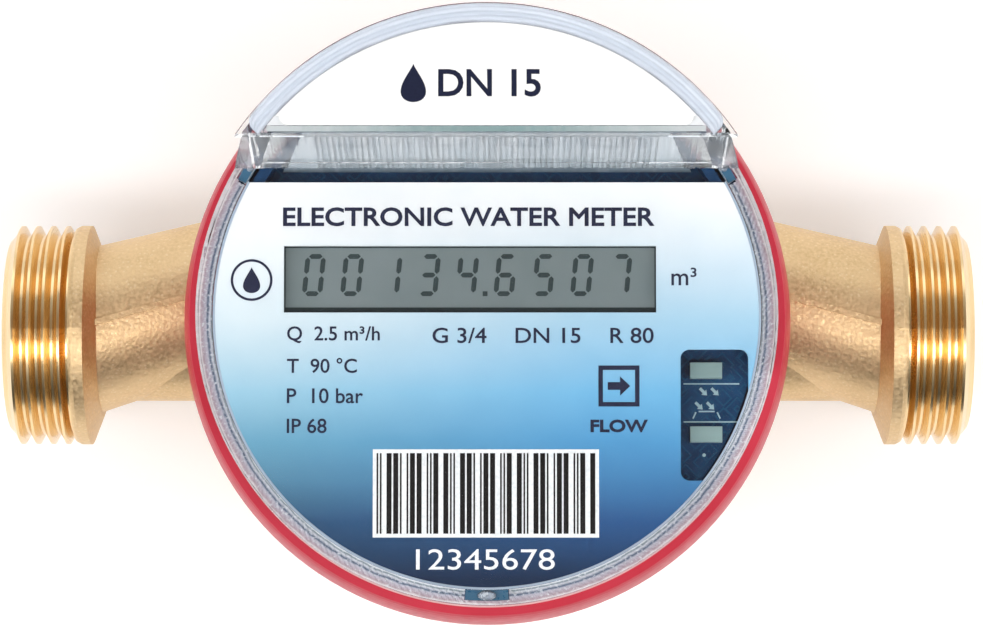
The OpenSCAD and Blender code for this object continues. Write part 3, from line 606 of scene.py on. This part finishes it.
def loop_mesh(name, outer, inner, level):
    """A printed closed band between two outlines with the same number of points."""
    made = bmesh.new()
    top = level + PRINT_DEPTH
    edges = ((outer, level), (outer, top), (inner, top), (inner, level))
    rows = [[made.verts.new((x, y, z)) for x, y in outline] for outline, z in edges]
    join_rows(made, rows + rows[:1])
    return finish_mesh(made, name)


def rectangle(low_x, low_y, high_x, high_y):
    return [(low_x, low_y), (high_x, low_y), (high_x, high_y), (low_x, high_y)]


def square(x, y, side):
    half = side / 2
    return rectangle(x - half, y - half, x + half, y + half)


def full_turn(count):
    """Angles of so many equal steps around a full turn."""
    return [2 * math.pi * k / count for k in range(count)]


def circle(x, y, radius, count=48):
    return [(x + radius * math.cos(a), y + radius * math.sin(a)) for a in full_turn(count)]


def arc(radius, start, end, steps=12):
    angles = [start + (end - start) * k / steps for k in range(steps + 1)]
    return [(radius * math.cos(a), radius * math.sin(a)) for a in angles]


# Water drop: how far its sides swing out, and how much they draw in towards the tip
DROP_SWING = 0.95
DROP_TAPER = 1.6


def drop(x, y, height, count=40):
    """Outline of a water drop with its tip up, about its middle."""
    half = height / 2
    swing = DROP_SWING * half
    return [(x + swing * math.sin(a) * math.sin(a / 2) ** DROP_TAPER, y + half * math.cos(a))
            for a in full_turn(count)]


# Arrow: its head's share of the length, and half its shaft's share of the width
ARROW_HEAD = 0.45
ARROW_SHAFT = 0.2


def arrow(x, y, length, width):
    """Outline of an arrow that points along +X, about its middle."""
    tip = x + length / 2
    neck = tip - ARROW_HEAD * length
    shaft = ARROW_SHAFT * width
    return [(x - length / 2, y - shaft), (neck, y - shaft), (neck, y - width / 2), (tip, y),
            (neck, y + width / 2), (neck, y + shaft), (x - length / 2, y + shaft)]


def turned_outline(outline, x, y, angle):
    """An outline turned about a point."""
    cos, sin = math.cos(angle), math.sin(angle)
    offsets = [(px - x, py - y) for px, py in outline]
    return [(x + dx * cos - dy * sin, y + dx * sin + dy * cos) for dx, dy in offsets]


# Least divisor of a corner's move, which keeps the points of sharp corners short
SHARPEST_CORNER = 0.6


def heavier(made, weight):
    """Moves the edges of flat lettering outwards, which thickens its strokes."""
    moves = {}
    for vertex in made.verts:
        sides = []
        for edge in vertex.link_edges:
            if len(edge.link_faces) == 1:
                run = (edge.verts[1].co - edge.verts[0].co).normalized()
                side = Vector((run.y, -run.x, 0))
                inward = edge.link_faces[0].calc_center_median() - edge.verts[0].co
                sides.append(-side if side.dot(inward) > 0 else side)
        if len(sides) == 2:
            sharpness = max(SHARPEST_CORNER, 1 + sides[0].dot(sides[1]))
            moves[vertex] = (sides[0] + sides[1]) * weight / sharpness
    for vertex, move in moves.items():
        vertex.co += move


def words_mesh(name, words, left, low, height, width=None, weight=0.0, level=DIAL_HIGH.z):
    """Lettering in the built-in font, with a set height, a set width if given, and heavier strokes."""
    curve = bpy.data.curves.new(name, "FONT")
    curve.body = words
    curve.fill_mode = "FRONT"
    curve.resolution_u = 4
    lettering = new_object(name, curve)
    graph = bpy.context.evaluated_depsgraph_get()
    mesh = bpy.data.meshes.new_from_object(lettering.evaluated_get(graph))
    bpy.data.objects.remove(lettering)
    xs = [v.co.x for v in mesh.vertices]
    ys = [v.co.y for v in mesh.vertices]
    scale_y = (height - 2 * weight) / (max(ys) - min(ys))
    scale_x = (width - 2 * weight) / (max(xs) - min(xs)) if width else scale_y
    move = Matrix.Translation((left + weight, low + weight, level))
    size = Matrix.Diagonal((scale_x, scale_y, 1, 1))
    mesh.transform(move @ size @ Matrix.Translation((-min(xs), -min(ys), 0)))
    made = bmesh.new()
    made.from_mesh(mesh)
    bmesh.ops.remove_doubles(made, verts=made.verts, dist=ONE_POINT)
    heavier(made, weight)
    grown = bmesh.ops.extrude_face_region(made, geom=made.faces[:], use_keep_orig=True)["geom"]
    raised = [item for item in grown if isinstance(item, bmesh.types.BMVert)]
    bmesh.ops.translate(made, verts=raised, vec=(0, 0, PRINT_DEPTH))
    bmesh.ops.recalc_face_normals(made, faces=made.faces)
    made.to_mesh(mesh)
    made.free()
    mesh.name = name
    return mesh


def rounded_off(run, radius):
    """What a rounded corner takes off an edge, at a run from the edge's end."""
    short = min(radius, max(0, radius - run))
    return radius - math.sqrt(radius ** 2 - short ** 2)


def add_band(made, inner, outer, start, end, top, depth, ripple, steps, across, corner=0.0):
    """A solid band along an arc, whose top rises by a ripple of the angle and the share across it."""
    shares = [j / across for j in range(across + 1)]
    rows = []
    for k in range(steps + 1):
        angle = start + (end - start) * k / steps
        edge = outer - rounded_off(outer * min(angle - start, end - angle), corner)
        points = [(inner + (edge - inner) * share, top + ripple(angle, share)) for share in shares]
        points += [(edge, top - depth), (inner, top - depth)]
        rows.append([made.verts.new((r * math.cos(angle), r * math.sin(angle), z)) for r, z in points])
    join_rows(made, rows)
    made.faces.new(rows[0])
    made.faces.new(list(reversed(rows[-1])))


# Beaded seam inside the foot of the clear wall: full width between the notches, narrow behind them
SEAM_TOP = COLLAR_TOP
SEAM_DEPTH = 0.5 * MM
SEAM_CLEAR = 0.015 * MM
SEAM_BEAD = 0.06 * MM
SEAM_BEADS = 260
SEAM_BEAD_STEPS = 4
SEAM_ACROSS = 6
SEAM_NOTCH_STEPS = 60
SEAM_NOTCH_ACROSS = 2


def seam_ripple(angle, share):
    """Rows of beads, each row set half a bead along from the last."""
    beads = math.cos(SEAM_BEADS * angle + math.pi * SEAM_ACROSS * share)
    return SEAM_BEAD * beads * math.sin(math.pi * share)


def cover_seam():
    made = bmesh.new()
    inner, outer = COVER_IN_R + SEAM_CLEAR, COVER_OUT_R - SEAM_CLEAR
    behind = inner + NOTCH_DEPTH
    half = NOTCH_HALF / COVER_IN_R
    nexts = NOTCH_ANGLES[1:] + [NOTCH_ANGLES[0] + 2 * math.pi]
    for notch, following in zip(NOTCH_ANGLES, nexts):
        start, end = notch + half, following - half
        steps = round((end - start) / (2 * math.pi) * SEAM_BEAD_STEPS * SEAM_BEADS)
        add_band(made, inner, outer, start, end, SEAM_TOP, SEAM_DEPTH, seam_ripple, steps, SEAM_ACROSS)
        add_band(made, behind, outer, notch - half, notch + half, SEAM_TOP, SEAM_DEPTH, seam_ripple,
                 SEAM_NOTCH_STEPS, SEAM_NOTCH_ACROSS)
    piece_from(finish_mesh(made, "cover_seam"), weld_seam())


# Pale strip in the edge of the hood's roof, with fine lines along the arc
RIM_TOP = COVER_HIGH.z - 0.3 * MM
RIM_DEPTH = 0.15 * MM
RIM_IN_R = NAME_HIGH.y + 0.15 * MM
RIM_OUT_R = COVER_HIGH.y - 0.1 * MM
RIM_FRONT = NAME_LOW.y - 1.0 * MM
RIM_CORNER = 1.4 * MM
RIM_RIDGE = 0.04 * MM
RIM_LINES = 4
RIM_ACROSS = 8 * RIM_LINES
RIM_STEPS = 400


def rim_ripple(angle, share):
    return RIM_RIDGE * math.cos(2 * math.pi * RIM_LINES * share)


def hood_rim():
    made = bmesh.new()
    start = math.asin(RIM_FRONT / RIM_IN_R)
    add_band(made, RIM_IN_R, RIM_OUT_R, start, math.pi - start, RIM_TOP, RIM_DEPTH, rim_ripple,
             RIM_STEPS, RIM_ACROSS, RIM_CORNER)
    mesh = finish_mesh(made, "hood_rim")
    mesh.shade_smooth()
    piece_from(mesh, rim_plastic())


# White bed that shows past the name plate's two rounded corners, and the strip of painted light along the
# plate's front edge, over the shade under the roof
BED_R = NAME_HIGH.y + 0.1 * MM
BED_DEPTH = 0.1 * MM
BED_STEPS = 96
BROW_WIDTH = 0.6 * MM
BROW_GAP = 0.06 * MM


def plate_bed():
    start = math.asin(NAME_LOW.y / BED_R)
    outline = arc(BED_R, start, math.pi - start, BED_STEPS)
    mesh = flat_mesh("plate_bed", [outline], RIM_TOP - BED_DEPTH, BED_DEPTH)
    piece_from(mesh, moulded("bed_white", seen(252, 253, 254), 0.4))


def plate_brow():
    half = math.sqrt(BED_R ** 2 - NAME_LOW.y ** 2)
    high = NAME_LOW.y - BROW_GAP
    outline = rectangle(-half, high - BROW_WIDTH, half, high)
    mesh = flat_mesh("plate_brow", [outline], RIM_TOP - BED_DEPTH, BED_DEPTH)
    piece_from(mesh, brow_painted_light())


# Pale band in the gap between the dial and the cover's wall, around the round part of the dial: a painted
# highlight of the wall's inner edge, laid over the gap's shade
LIP_CLEAR = 0.02 * MM
LIP_TOP = DIAL_HIGH.z - 0.05 * MM
LIP_DEPTH = 0.6 * MM
LIP_WAVE = 0.02 * MM
LIP_WAVES = 90
LIP_STEPS = 360
LIP_ACROSS = 2


def lip_ripple(angle, share):
    return LIP_WAVE * math.cos(LIP_WAVES * angle)


def dial_edge_highlight():
    made = bmesh.new()
    dial_r = DIAL_HIGH.x
    corner = math.asin(DIAL_HIGH.y / dial_r)
    start, end = math.pi - corner, 2 * math.pi + corner
    inner, outer = dial_r + LIP_CLEAR, COVER_IN_R - LIP_CLEAR
    add_band(made, inner, outer, start, end, LIP_TOP, LIP_DEPTH, lip_ripple, LIP_STEPS, LIP_ACROSS)
    mesh = finish_mesh(made, "dial_edge_highlight")
    # Painted highlight of the wall's inner edge, in place of the gap's shade
    piece_from(mesh, moulded("painted_edge_highlight", seen(168, 184, 202), 0.35))


# Dark lugs that show in the notches, their teal painted lighter to make up for the shade there, and the
# dimpled cap that is pressed on each stud
LUG_TOP = DIAL_HIGH.z - 1.0 * MM
LUG_DEPTH = 0.4 * MM
LUG_IN_R = COVER_IN_R + 0.05 * MM
LUG_OUT_R = COVER_IN_R + NOTCH_DEPTH - 0.02 * MM
LUG_HALF = 2.36 * MM
CAP_R = 1.05 * MM
CAP_SQUEEZE = 0.52
CAP_RISE = 0.75 * MM
CAP_ROUNDNESS = 0.6
CAP_DIMPLE = 0.25
CAP_DIMPLE_POWER = 6


def notch_lugs():
    half = LUG_HALF / LUG_IN_R
    outlines = []
    for angle in NOTCH_ANGLES:
        start, end = angle - half, angle + half
        outlines.append(arc(LUG_OUT_R, start, end) + arc(LUG_IN_R, end, start))
    lugs = flat_mesh("notch_lugs", outlines, LUG_TOP - LUG_DEPTH, LUG_DEPTH)
    # Painted light: a lighter teal than the dark plastic, against the notches' shade
    piece_from(lugs, moulded("lug_painted_light", seen(44, 100, 132), 0.3))


def add_cap(made, place, count=24, rows=8):
    """A dimpled cap, squeezed along the wall's radius, that covers the head of a stud."""
    rings = []
    for j in range(rows + 1):
        share = j / rows
        lean = share * math.pi / 2
        radius = CAP_R * math.cos(lean) ** CAP_ROUNDNESS
        rise = CAP_RISE * (math.sin(lean) - CAP_DIMPLE * share ** CAP_DIMPLE_POWER)
        if j < rows:
            points = [Vector((CAP_SQUEEZE * x, y, rise)) for x, y in circle(0, 0, radius, count)]
            rings.append([made.verts.new(place @ point) for point in points])
        else:
            rings.append([made.verts.new(place @ Vector((0, 0, rise)))] * count)
    join_rows(made, rings)
    made.faces.new(list(reversed(rings[0])))


def stud_caps():
    made = bmesh.new()
    middle = (LUG_IN_R + LUG_OUT_R) / 2
    for angle in NOTCH_ANGLES:
        turn = Matrix.Rotation(angle, 4, "Z")
        add_cap(made, turn @ Matrix.Translation((middle, 0, LUG_TOP)))
    piece_from(finish_mesh(made, "stud_caps"), frosted_plastic())


# Bead of the collar's upper edge, along the cover's wall, coloured pale pink as a painted highlight of that
# edge
BEAD_R = 0.13 * MM
BEAD_PATH_R = COVER_OUT_R + BEAD_R + 0.02 * MM


def collar_bead(count=240, around=10):
    made = bmesh.new()
    rows = []
    for side in full_turn(around):
        reach = BEAD_PATH_R + BEAD_R * math.cos(side)
        height = COLLAR_TOP + BEAD_R * math.sin(side)
        rows.append([made.verts.new((x, y, height)) for x, y in circle(0, 0, reach, count)])
    join_rows(made, rows + rows[:1])
    mesh = finish_mesh(made, "collar_bead")
    mesh.shade_smooth()
    # Pale pink, not the collar's red: painted highlight
    piece_from(mesh, moulded("painted_highlight_pink", seen(250, 196, 198), 0.2))


# Words on the dial, in millimetres from its centre: name, words, left, low edge, height, width, weight
NAVY_WORDS = [
    ("heading", "ELECTRONIC WATER METER", -22.9, 9.95, 2.15, 41.7, 0.07),
    ("unit", "m³", 20.7, 3.3, 2.0, None, 0.02),
    ("rating_flow", "Q  2.5 m³/h", -22.4, -3.2, 1.9, None, 0.025),
    ("rating_heat", "T  90 °C", -22.4, -6.55, 1.7, None, 0.025),
    ("rating_pressure", "P  10 bar", -22.4, -9.95, 1.7, None, 0.025),
    ("rating_seal", "IP 68", -22.4, -13.3, 1.65, None, 0.025),
    ("bore_size", "G 3/4    DN 15    R 80", -6.1, -3.2, 1.75, 24.8, 0.025),
    ("flow_word", "FLOW", 11.6, -13.2, 1.45, 6.4, 0.08),
]
NUMBER_WORDS = "12345678"
NUMBER_LEFT = -7.9 * MM
NUMBER_LOW = -28.55 * MM
NUMBER_HEIGHT = 2.3 * MM
NUMBER_WIDTH = 15.5 * MM


def print_words():
    for name, words, left, low, height, width, weight in NAVY_WORDS:
        span = width * MM if width else None
        mesh = words_mesh("print_" + name, words, left * MM, low * MM, height * MM, span, weight * MM)
        piece_from(mesh, NAVY_INK)
    mesh = words_mesh("print_number", NUMBER_WORDS, NUMBER_LEFT, NUMBER_LOW, NUMBER_HEIGHT, NUMBER_WIDTH)
    piece_from(mesh, WHITE_INK)


# Generic marks on the dial: a ring with a drop, and a framed flow arrow
MARK_X = -26.4 * MM
MARK_Y = 3.9 * MM
MARK_R = 2.35 * MM
MARK_LINE = 0.28 * MM
MARK_DROP_H = 1.25 * MARK_R
FLOW_X = 14.8 * MM
FLOW_Y = -8.0 * MM
FLOW_SIDE = 4.6 * MM
FLOW_LINE = 0.5 * MM
FLOW_ARROW_L = 2.52 * MM
FLOW_ARROW_W = 2.16 * MM


def print_marks():
    face = DIAL_HIGH.z
    ring = loop_mesh("print_mark_ring", circle(MARK_X, MARK_Y, MARK_R),
                     circle(MARK_X, MARK_Y, MARK_R - MARK_LINE), face)
    water = flat_mesh("print_mark_drop", [drop(MARK_X, MARK_Y, MARK_DROP_H)], face)
    border = loop_mesh("print_flow_frame", square(FLOW_X, FLOW_Y, FLOW_SIDE),
                       square(FLOW_X, FLOW_Y, FLOW_SIDE - 2 * FLOW_LINE), face)
    pointer = flat_mesh("print_flow_arrow", [arrow(FLOW_X, FLOW_Y, FLOW_ARROW_L, FLOW_ARROW_W)], face)
    for mesh in (ring, water, border, pointer):
        piece_from(mesh, NAVY_INK)


# Bar pattern of no meaning, on its white field
BARS_LEFT = -12.75 * MM
BARS_RIGHT = 12.55 * MM
BARS_LOW = -24.95 * MM
BARS_HIGH = -15.1 * MM
BARS_MARGIN = 0.42 * MM
BAR_COUNT = 36


def print_bars():
    """The bars and the gaps between them are one to four units wide, by a formula."""
    field = rectangle(BARS_LEFT, BARS_LOW, BARS_RIGHT, BARS_HIGH)
    piece_from(flat_mesh("print_bar_field", [field], DIAL_HIGH.z), WHITE_INK)
    bars = [1 + (5 * k * k + 3 * k) % 4 for k in range(BAR_COUNT)]
    gaps = [1 + (7 * k * k + k) % 3 for k in range(BAR_COUNT - 1)] + [0]
    unit = (BARS_RIGHT - BARS_LEFT - 2 * BARS_MARGIN) / (sum(bars) + sum(gaps))
    outlines = []
    x = BARS_LEFT + BARS_MARGIN
    for bar, gap in zip(bars, gaps):
        outlines.append(rectangle(x, BARS_LOW + BARS_MARGIN, x + bar * unit, BARS_HIGH - BARS_MARGIN))
        x += (bar + gap) * unit
    piece_from(flat_mesh("print_bars", outlines, DIAL_HIGH.z + PRINT_DEPTH), BLACK_INK)


# Display figures: the seven bars of a figure on a grid one wide and two high
FIGURE_BARS = {
    "a": ((0, 2), (1, 2)),
    "b": ((1, 2), (1, 1)),
    "c": ((1, 1), (1, 0)),
    "d": ((0, 0), (1, 0)),
    "e": ((0, 1), (0, 0)),
    "f": ((0, 2), (0, 1)),
    "g": ((0, 1), (1, 1)),
}
FIGURES = {"0": "abcdef", "1": "bc", "3": "abgcd", "4": "fgbc", "5": "afgcd", "6": "afgecd", "7": "abc"}
READING = "001346507"
FIGURE_W = 1.75 * MM
FIGURE_H = 4.2 * MM
FIGURE_PITCH = 4.31 * MM
FIGURE_SLANT = 0.10
FIGURE_BAR = 0.55 * MM
FIGURE_GAP = 0.12 * MM
FIGURES_IN = 2.25 * MM
FIGURES_UP = 2.2 * MM

# The decimal point comes after so many figures, and this share of a pitch before the next one
POINT_AFTER = 5
POINT_BACK = 0.28


def bar_outline(start, end):
    """A bar with pointed ends between two corners of a figure."""
    run = Vector((end[0] - start[0], end[1] - start[1])).normalized()
    side = Vector((-run.y, run.x)) * FIGURE_BAR / 2
    near = Vector(start) + run * FIGURE_GAP
    far = Vector(end) - run * FIGURE_GAP
    tip = run * FIGURE_BAR / 2
    return [near, near + tip + side, far - tip + side, far, far - tip - side, near + tip - side]


def display_figures():
    outlines = []
    low = WINDOW_LOW.y + FIGURES_UP
    for k, figure in enumerate(READING):
        left = WINDOW_LOW.x + FIGURES_IN + k * FIGURE_PITCH
        for bar in FIGURES[figure]:
            ends = [(x * FIGURE_W, y * FIGURE_H / 2) for x, y in FIGURE_BARS[bar]]
            outlines.append([(left + p.x + FIGURE_SLANT * p.y, low + p.y) for p in bar_outline(*ends)])
    point_x = WINDOW_LOW.x + FIGURES_IN + (POINT_AFTER - POINT_BACK) * FIGURE_PITCH
    outlines.append(square(point_x, low, FIGURE_BAR))
    piece_from(flat_mesh("display_figures", outlines, GLASS_HIGH.z), DISPLAY_INK)


# Dark edge of the display's film along the bottom of the window, and painted shadow of the window's recess
# along its other sides: the border's width along the bottom, and along the other sides
DISPLAY_EDGE = 0.65 * MM
DISPLAY_LINE = 0.15 * MM


def display_border():
    low, high = WINDOW_LOW, WINDOW_HIGH
    over = GLASS_MARGIN_X / 2
    outer = rectangle(low.x - over, low.y - over, high.x + over, high.y + over)
    inner = rectangle(low.x + DISPLAY_LINE, low.y + DISPLAY_EDGE,
                      high.x - DISPLAY_LINE, high.y - DISPLAY_LINE)
    piece_from(loop_mesh("display_border", outer, inner, GLASS_HIGH.z), EDGE_AND_SHADOW_INK)


# White print on the circuit board, seen through the optical port: two lines, arrows, a stand and a dot
PORT_LEFT = EMITTER_LOW.x - 0.7 * MM
PORT_RIGHT = EMITTER_HIGH.x + 2.0 * MM
BOARD_LINE = 0.16 * MM
BOARD_LINE_AWAY = 0.55 * MM
ARROWS_RIGHT = 0.4 * MM
ARROWS_DOWN = 0.9 * MM
ARROWS_SHIFT = 0.5 * MM
ARROW_PITCH_X = 1.3 * MM
ARROW_PITCH_Y = 1.6 * MM
ARROW_LENGTH = 1.15 * MM
ARROW_WIDTH = 0.7 * ARROW_LENGTH
ARROW_TURN = math.radians(-45)
STAND_LEFT = 0.3 * MM
STAND_UP = 1.1 * MM
STAND_HALF = 0.9 * MM
LEG_REACH = 1.2 * MM
LEG_LENGTH = 0.8 * MM
LEG_TURN = math.radians(25)
DOT_RIGHT = 1.6 * MM
DOT_DOWN = 1.4 * MM
DOT_R = 0.2 * MM
DOT_POINTS = 20


def board_arrows(middle_x, top_y):
    """Two rows of two arrows, the lower row set to the left."""
    outlines = []
    for row in (0, 1):
        for column in (0, 1):
            x = middle_x + (column - 0.5) * ARROW_PITCH_X - row * ARROWS_SHIFT
            y = top_y - ARROWS_DOWN - row * ARROW_PITCH_Y
            outlines.append(turned_outline(arrow(x, y, ARROW_LENGTH, ARROW_WIDTH), x, y, ARROW_TURN))
    return outlines


def board_stand(middle_x, foot_y):
    """A line over two legs that lean outwards."""
    outlines = [rectangle(middle_x - STAND_HALF, foot_y, middle_x + STAND_HALF, foot_y + BOARD_LINE)]
    for side in (-1, 1):
        x = middle_x + side * LEG_REACH
        leg = rectangle(x - BOARD_LINE / 2, foot_y - LEG_LENGTH, x + BOARD_LINE / 2, foot_y)
        outlines.append(turned_outline(leg, x, foot_y, side * LEG_TURN))
    return outlines


def board_print():
    top_y = EMITTER_LOW.y - BOARD_LINE_AWAY
    low_y = RECEIVER_HIGH.y + BOARD_LINE_AWAY
    middle_x = (EMITTER_LOW.x + EMITTER_HIGH.x) / 2 + ARROWS_RIGHT
    half = BOARD_LINE / 2
    outlines = [rectangle(PORT_LEFT, y - half, PORT_RIGHT, y + half) for y in (top_y, low_y)]
    outlines += board_arrows(middle_x, top_y)
    outlines += board_stand(middle_x - STAND_LEFT, low_y + STAND_UP)
    outlines.append(circle(RECEIVER_LOW.x + DOT_RIGHT, RECEIVER_LOW.y - DOT_DOWN, DOT_R, DOT_POINTS))
    piece_from(flat_mesh("board_print", outlines, BOARD_TOP), BOARD_INK)


# Mark on the hood's white plate: a drop and the nominal bore
HOOD_WORDS = "DN 15"
HOOD_LEFT = -5.2 * MM
HOOD_LOW = 22.6 * MM
HOOD_HEIGHT = 3.0 * MM
HOOD_WEIGHT = 0.08 * MM
HOOD_DROP_X = -7.9 * MM
HOOD_DROP_H = 4.2 * MM


def hood_print():
    top = NAME_HIGH.z
    mesh = words_mesh("print_hood", HOOD_WORDS, HOOD_LEFT, HOOD_LOW, HOOD_HEIGHT, None, HOOD_WEIGHT, top)
    piece_from(mesh, NAVY_INK)
    water = drop(HOOD_DROP_X, HOOD_LOW + HOOD_HEIGHT / 2, HOOD_DROP_H)
    piece_from(flat_mesh("print_hood_drop", [water], top), NAVY_INK)


# Studio: floor, surroundings, lamps and camera
FLOOR_SIDE = 3000 * MM
FLOOR_DEPTH = 2 * MM


def floor():
    mesh = flat_mesh("studio_floor", [square(0, 0, FLOOR_SIDE)], -FLOOR_DEPTH, FLOOR_DEPTH)
    mesh.materials.append(studio_floor())
    made = new_object("studio_floor", mesh)


# Brightness of the surroundings by their lean from overhead: -90 is in front, 90 is behind
SKY_STRENGTH = 1.0
SKY_SHADES = [
    (-90, (0.32, 0.32, 0.32)),
    (-76, (0.06, 0.06, 0.06)),
    (-60, (0.13, 0.13, 0.13)),
    (-40, (0.32, 0.32, 0.32)),
    (-8, (0.34, 0.30, 0.26)),
    (2, (0.27, 0.19, 0.14)),
    (16, (0.30, 0.26, 0.22)),
    (28, (0.45, 0.45, 0.46)),
    (44, (0.52, 0.52, 0.53)),
    (56, (0.95, 0.95, 0.96)),
    (90, (1.0, 1.0, 1.0)),
]


def sky():
    """Soft surroundings: white and bright behind, darker and a little warmer overhead."""
    world = bpy.data.worlds.new("studio")
    bpy.context.scene.world = world
    world.use_nodes = True
    nodes = world.node_tree.nodes
    links = world.node_tree.links
    front, behind = SKY_SHADES[0][0], SKY_SHADES[-1][0]
    place = nodes.new("ShaderNodeTexCoord")
    parts = nodes.new("ShaderNodeSeparateXYZ")
    angle = nodes.new("ShaderNodeMath")
    angle.operation = "ARCTAN2"
    turn = nodes.new("ShaderNodeMapRange")
    turn.inputs["From Min"].default_value = math.radians(front)
    turn.inputs["From Max"].default_value = math.radians(behind)
    ramp = nodes.new("ShaderNodeValToRGB")
    fill_ramp(ramp, [((lean - front) / (behind - front), shade) for lean, shade in SKY_SHADES])
    links.new(place.outputs["Generated"], parts.inputs[0])
    links.new(parts.outputs["Y"], angle.inputs[0])
    links.new(parts.outputs["Z"], angle.inputs[1])
    links.new(angle.outputs[0], turn.inputs["Value"])
    links.new(turn.outputs["Result"], ramp.inputs["Fac"])
    background = nodes["Background"]
    links.new(ramp.outputs["Color"], background.inputs["Color"])
    background.inputs["Strength"].default_value = SKY_STRENGTH


# Lamps: name, direction from the meter, then distance, width and depth in metres, and power in watts
LAMPS = [
    ("front_strip", (0, -0.36, 1), 0.9, 1.1, 0.2, 3.8),
    ("left_fill", (-1, -0.3, 0.9), 1.0, 0.5, 0.5, 3.2),
    ("back_fill", (0, 1, 0.7), 1.1, 1.0, 0.5, 1.2),
    ("right_fill", (1, -0.3, 0.9), 1.0, 0.5, 0.5, 3.2),
]


def softbox(name, direction, distance, width, depth, power):
    """A rectangular lamp that looks at the meter from a direction."""
    lamp = bpy.data.lights.new(name, "AREA")
    lamp.shape = "RECTANGLE"
    lamp.size = width
    lamp.size_y = depth
    lamp.energy = power
    away = Vector(direction).normalized()
    turn = away.to_track_quat("Z", "Y").to_matrix().to_4x4()
    made = new_object(name, lamp)
    made.matrix_world = Matrix.Translation(away * distance) @ turn


def light():
    for lamp in LAMPS:
        softbox(*lamp)


def camera():
    """The photograph's camera, which sees the upright axis at its place in the photograph."""
    lens = bpy.data.cameras.new("photo_camera")
    lens.sensor_width = SENSOR_MM
    lens.lens = FOCAL_PX / PHOTO_W * SENSOR_MM
    lens.clip_start = 10 * MM
    made = new_object("photo_camera", lens)
    back = Vector((math.sin(CAMERA_LEAN_X), math.sin(CAMERA_LEAN_Y), 1)).normalized()
    right = (Vector((1, 0, 0)) - back * back.x).normalized()
    up = back.cross(right)
    pixel = CAMERA_DISTANCE / FOCAL_PX
    aside = right * (PHOTO_W / 2 - AXIS_PX[0]) * pixel + up * (AXIS_PX[1] - PHOTO_H / 2) * pixel
    place = Vector((0, 0, PIPE_AXIS_Z)) + back * CAMERA_DISTANCE + aside
    made.matrix_world = Matrix.Translation(place) @ Matrix((right, up, back)).transposed().to_4x4()
    bpy.context.scene.camera = made


dress_frame()
soften_edges("clear_cover", COVER_EDGE)
cover_seam()
hood_rim()
plate_bed()
plate_brow()
dial_edge_highlight()
notch_lugs()
stud_caps()
collar_bead()
print_words()
print_marks()
print_bars()
display_figures()
display_border()
board_print()
hood_print()
floor()
sky()
light()
camera()
bpy.context.scene.view_settings.view_transform = "Standard"
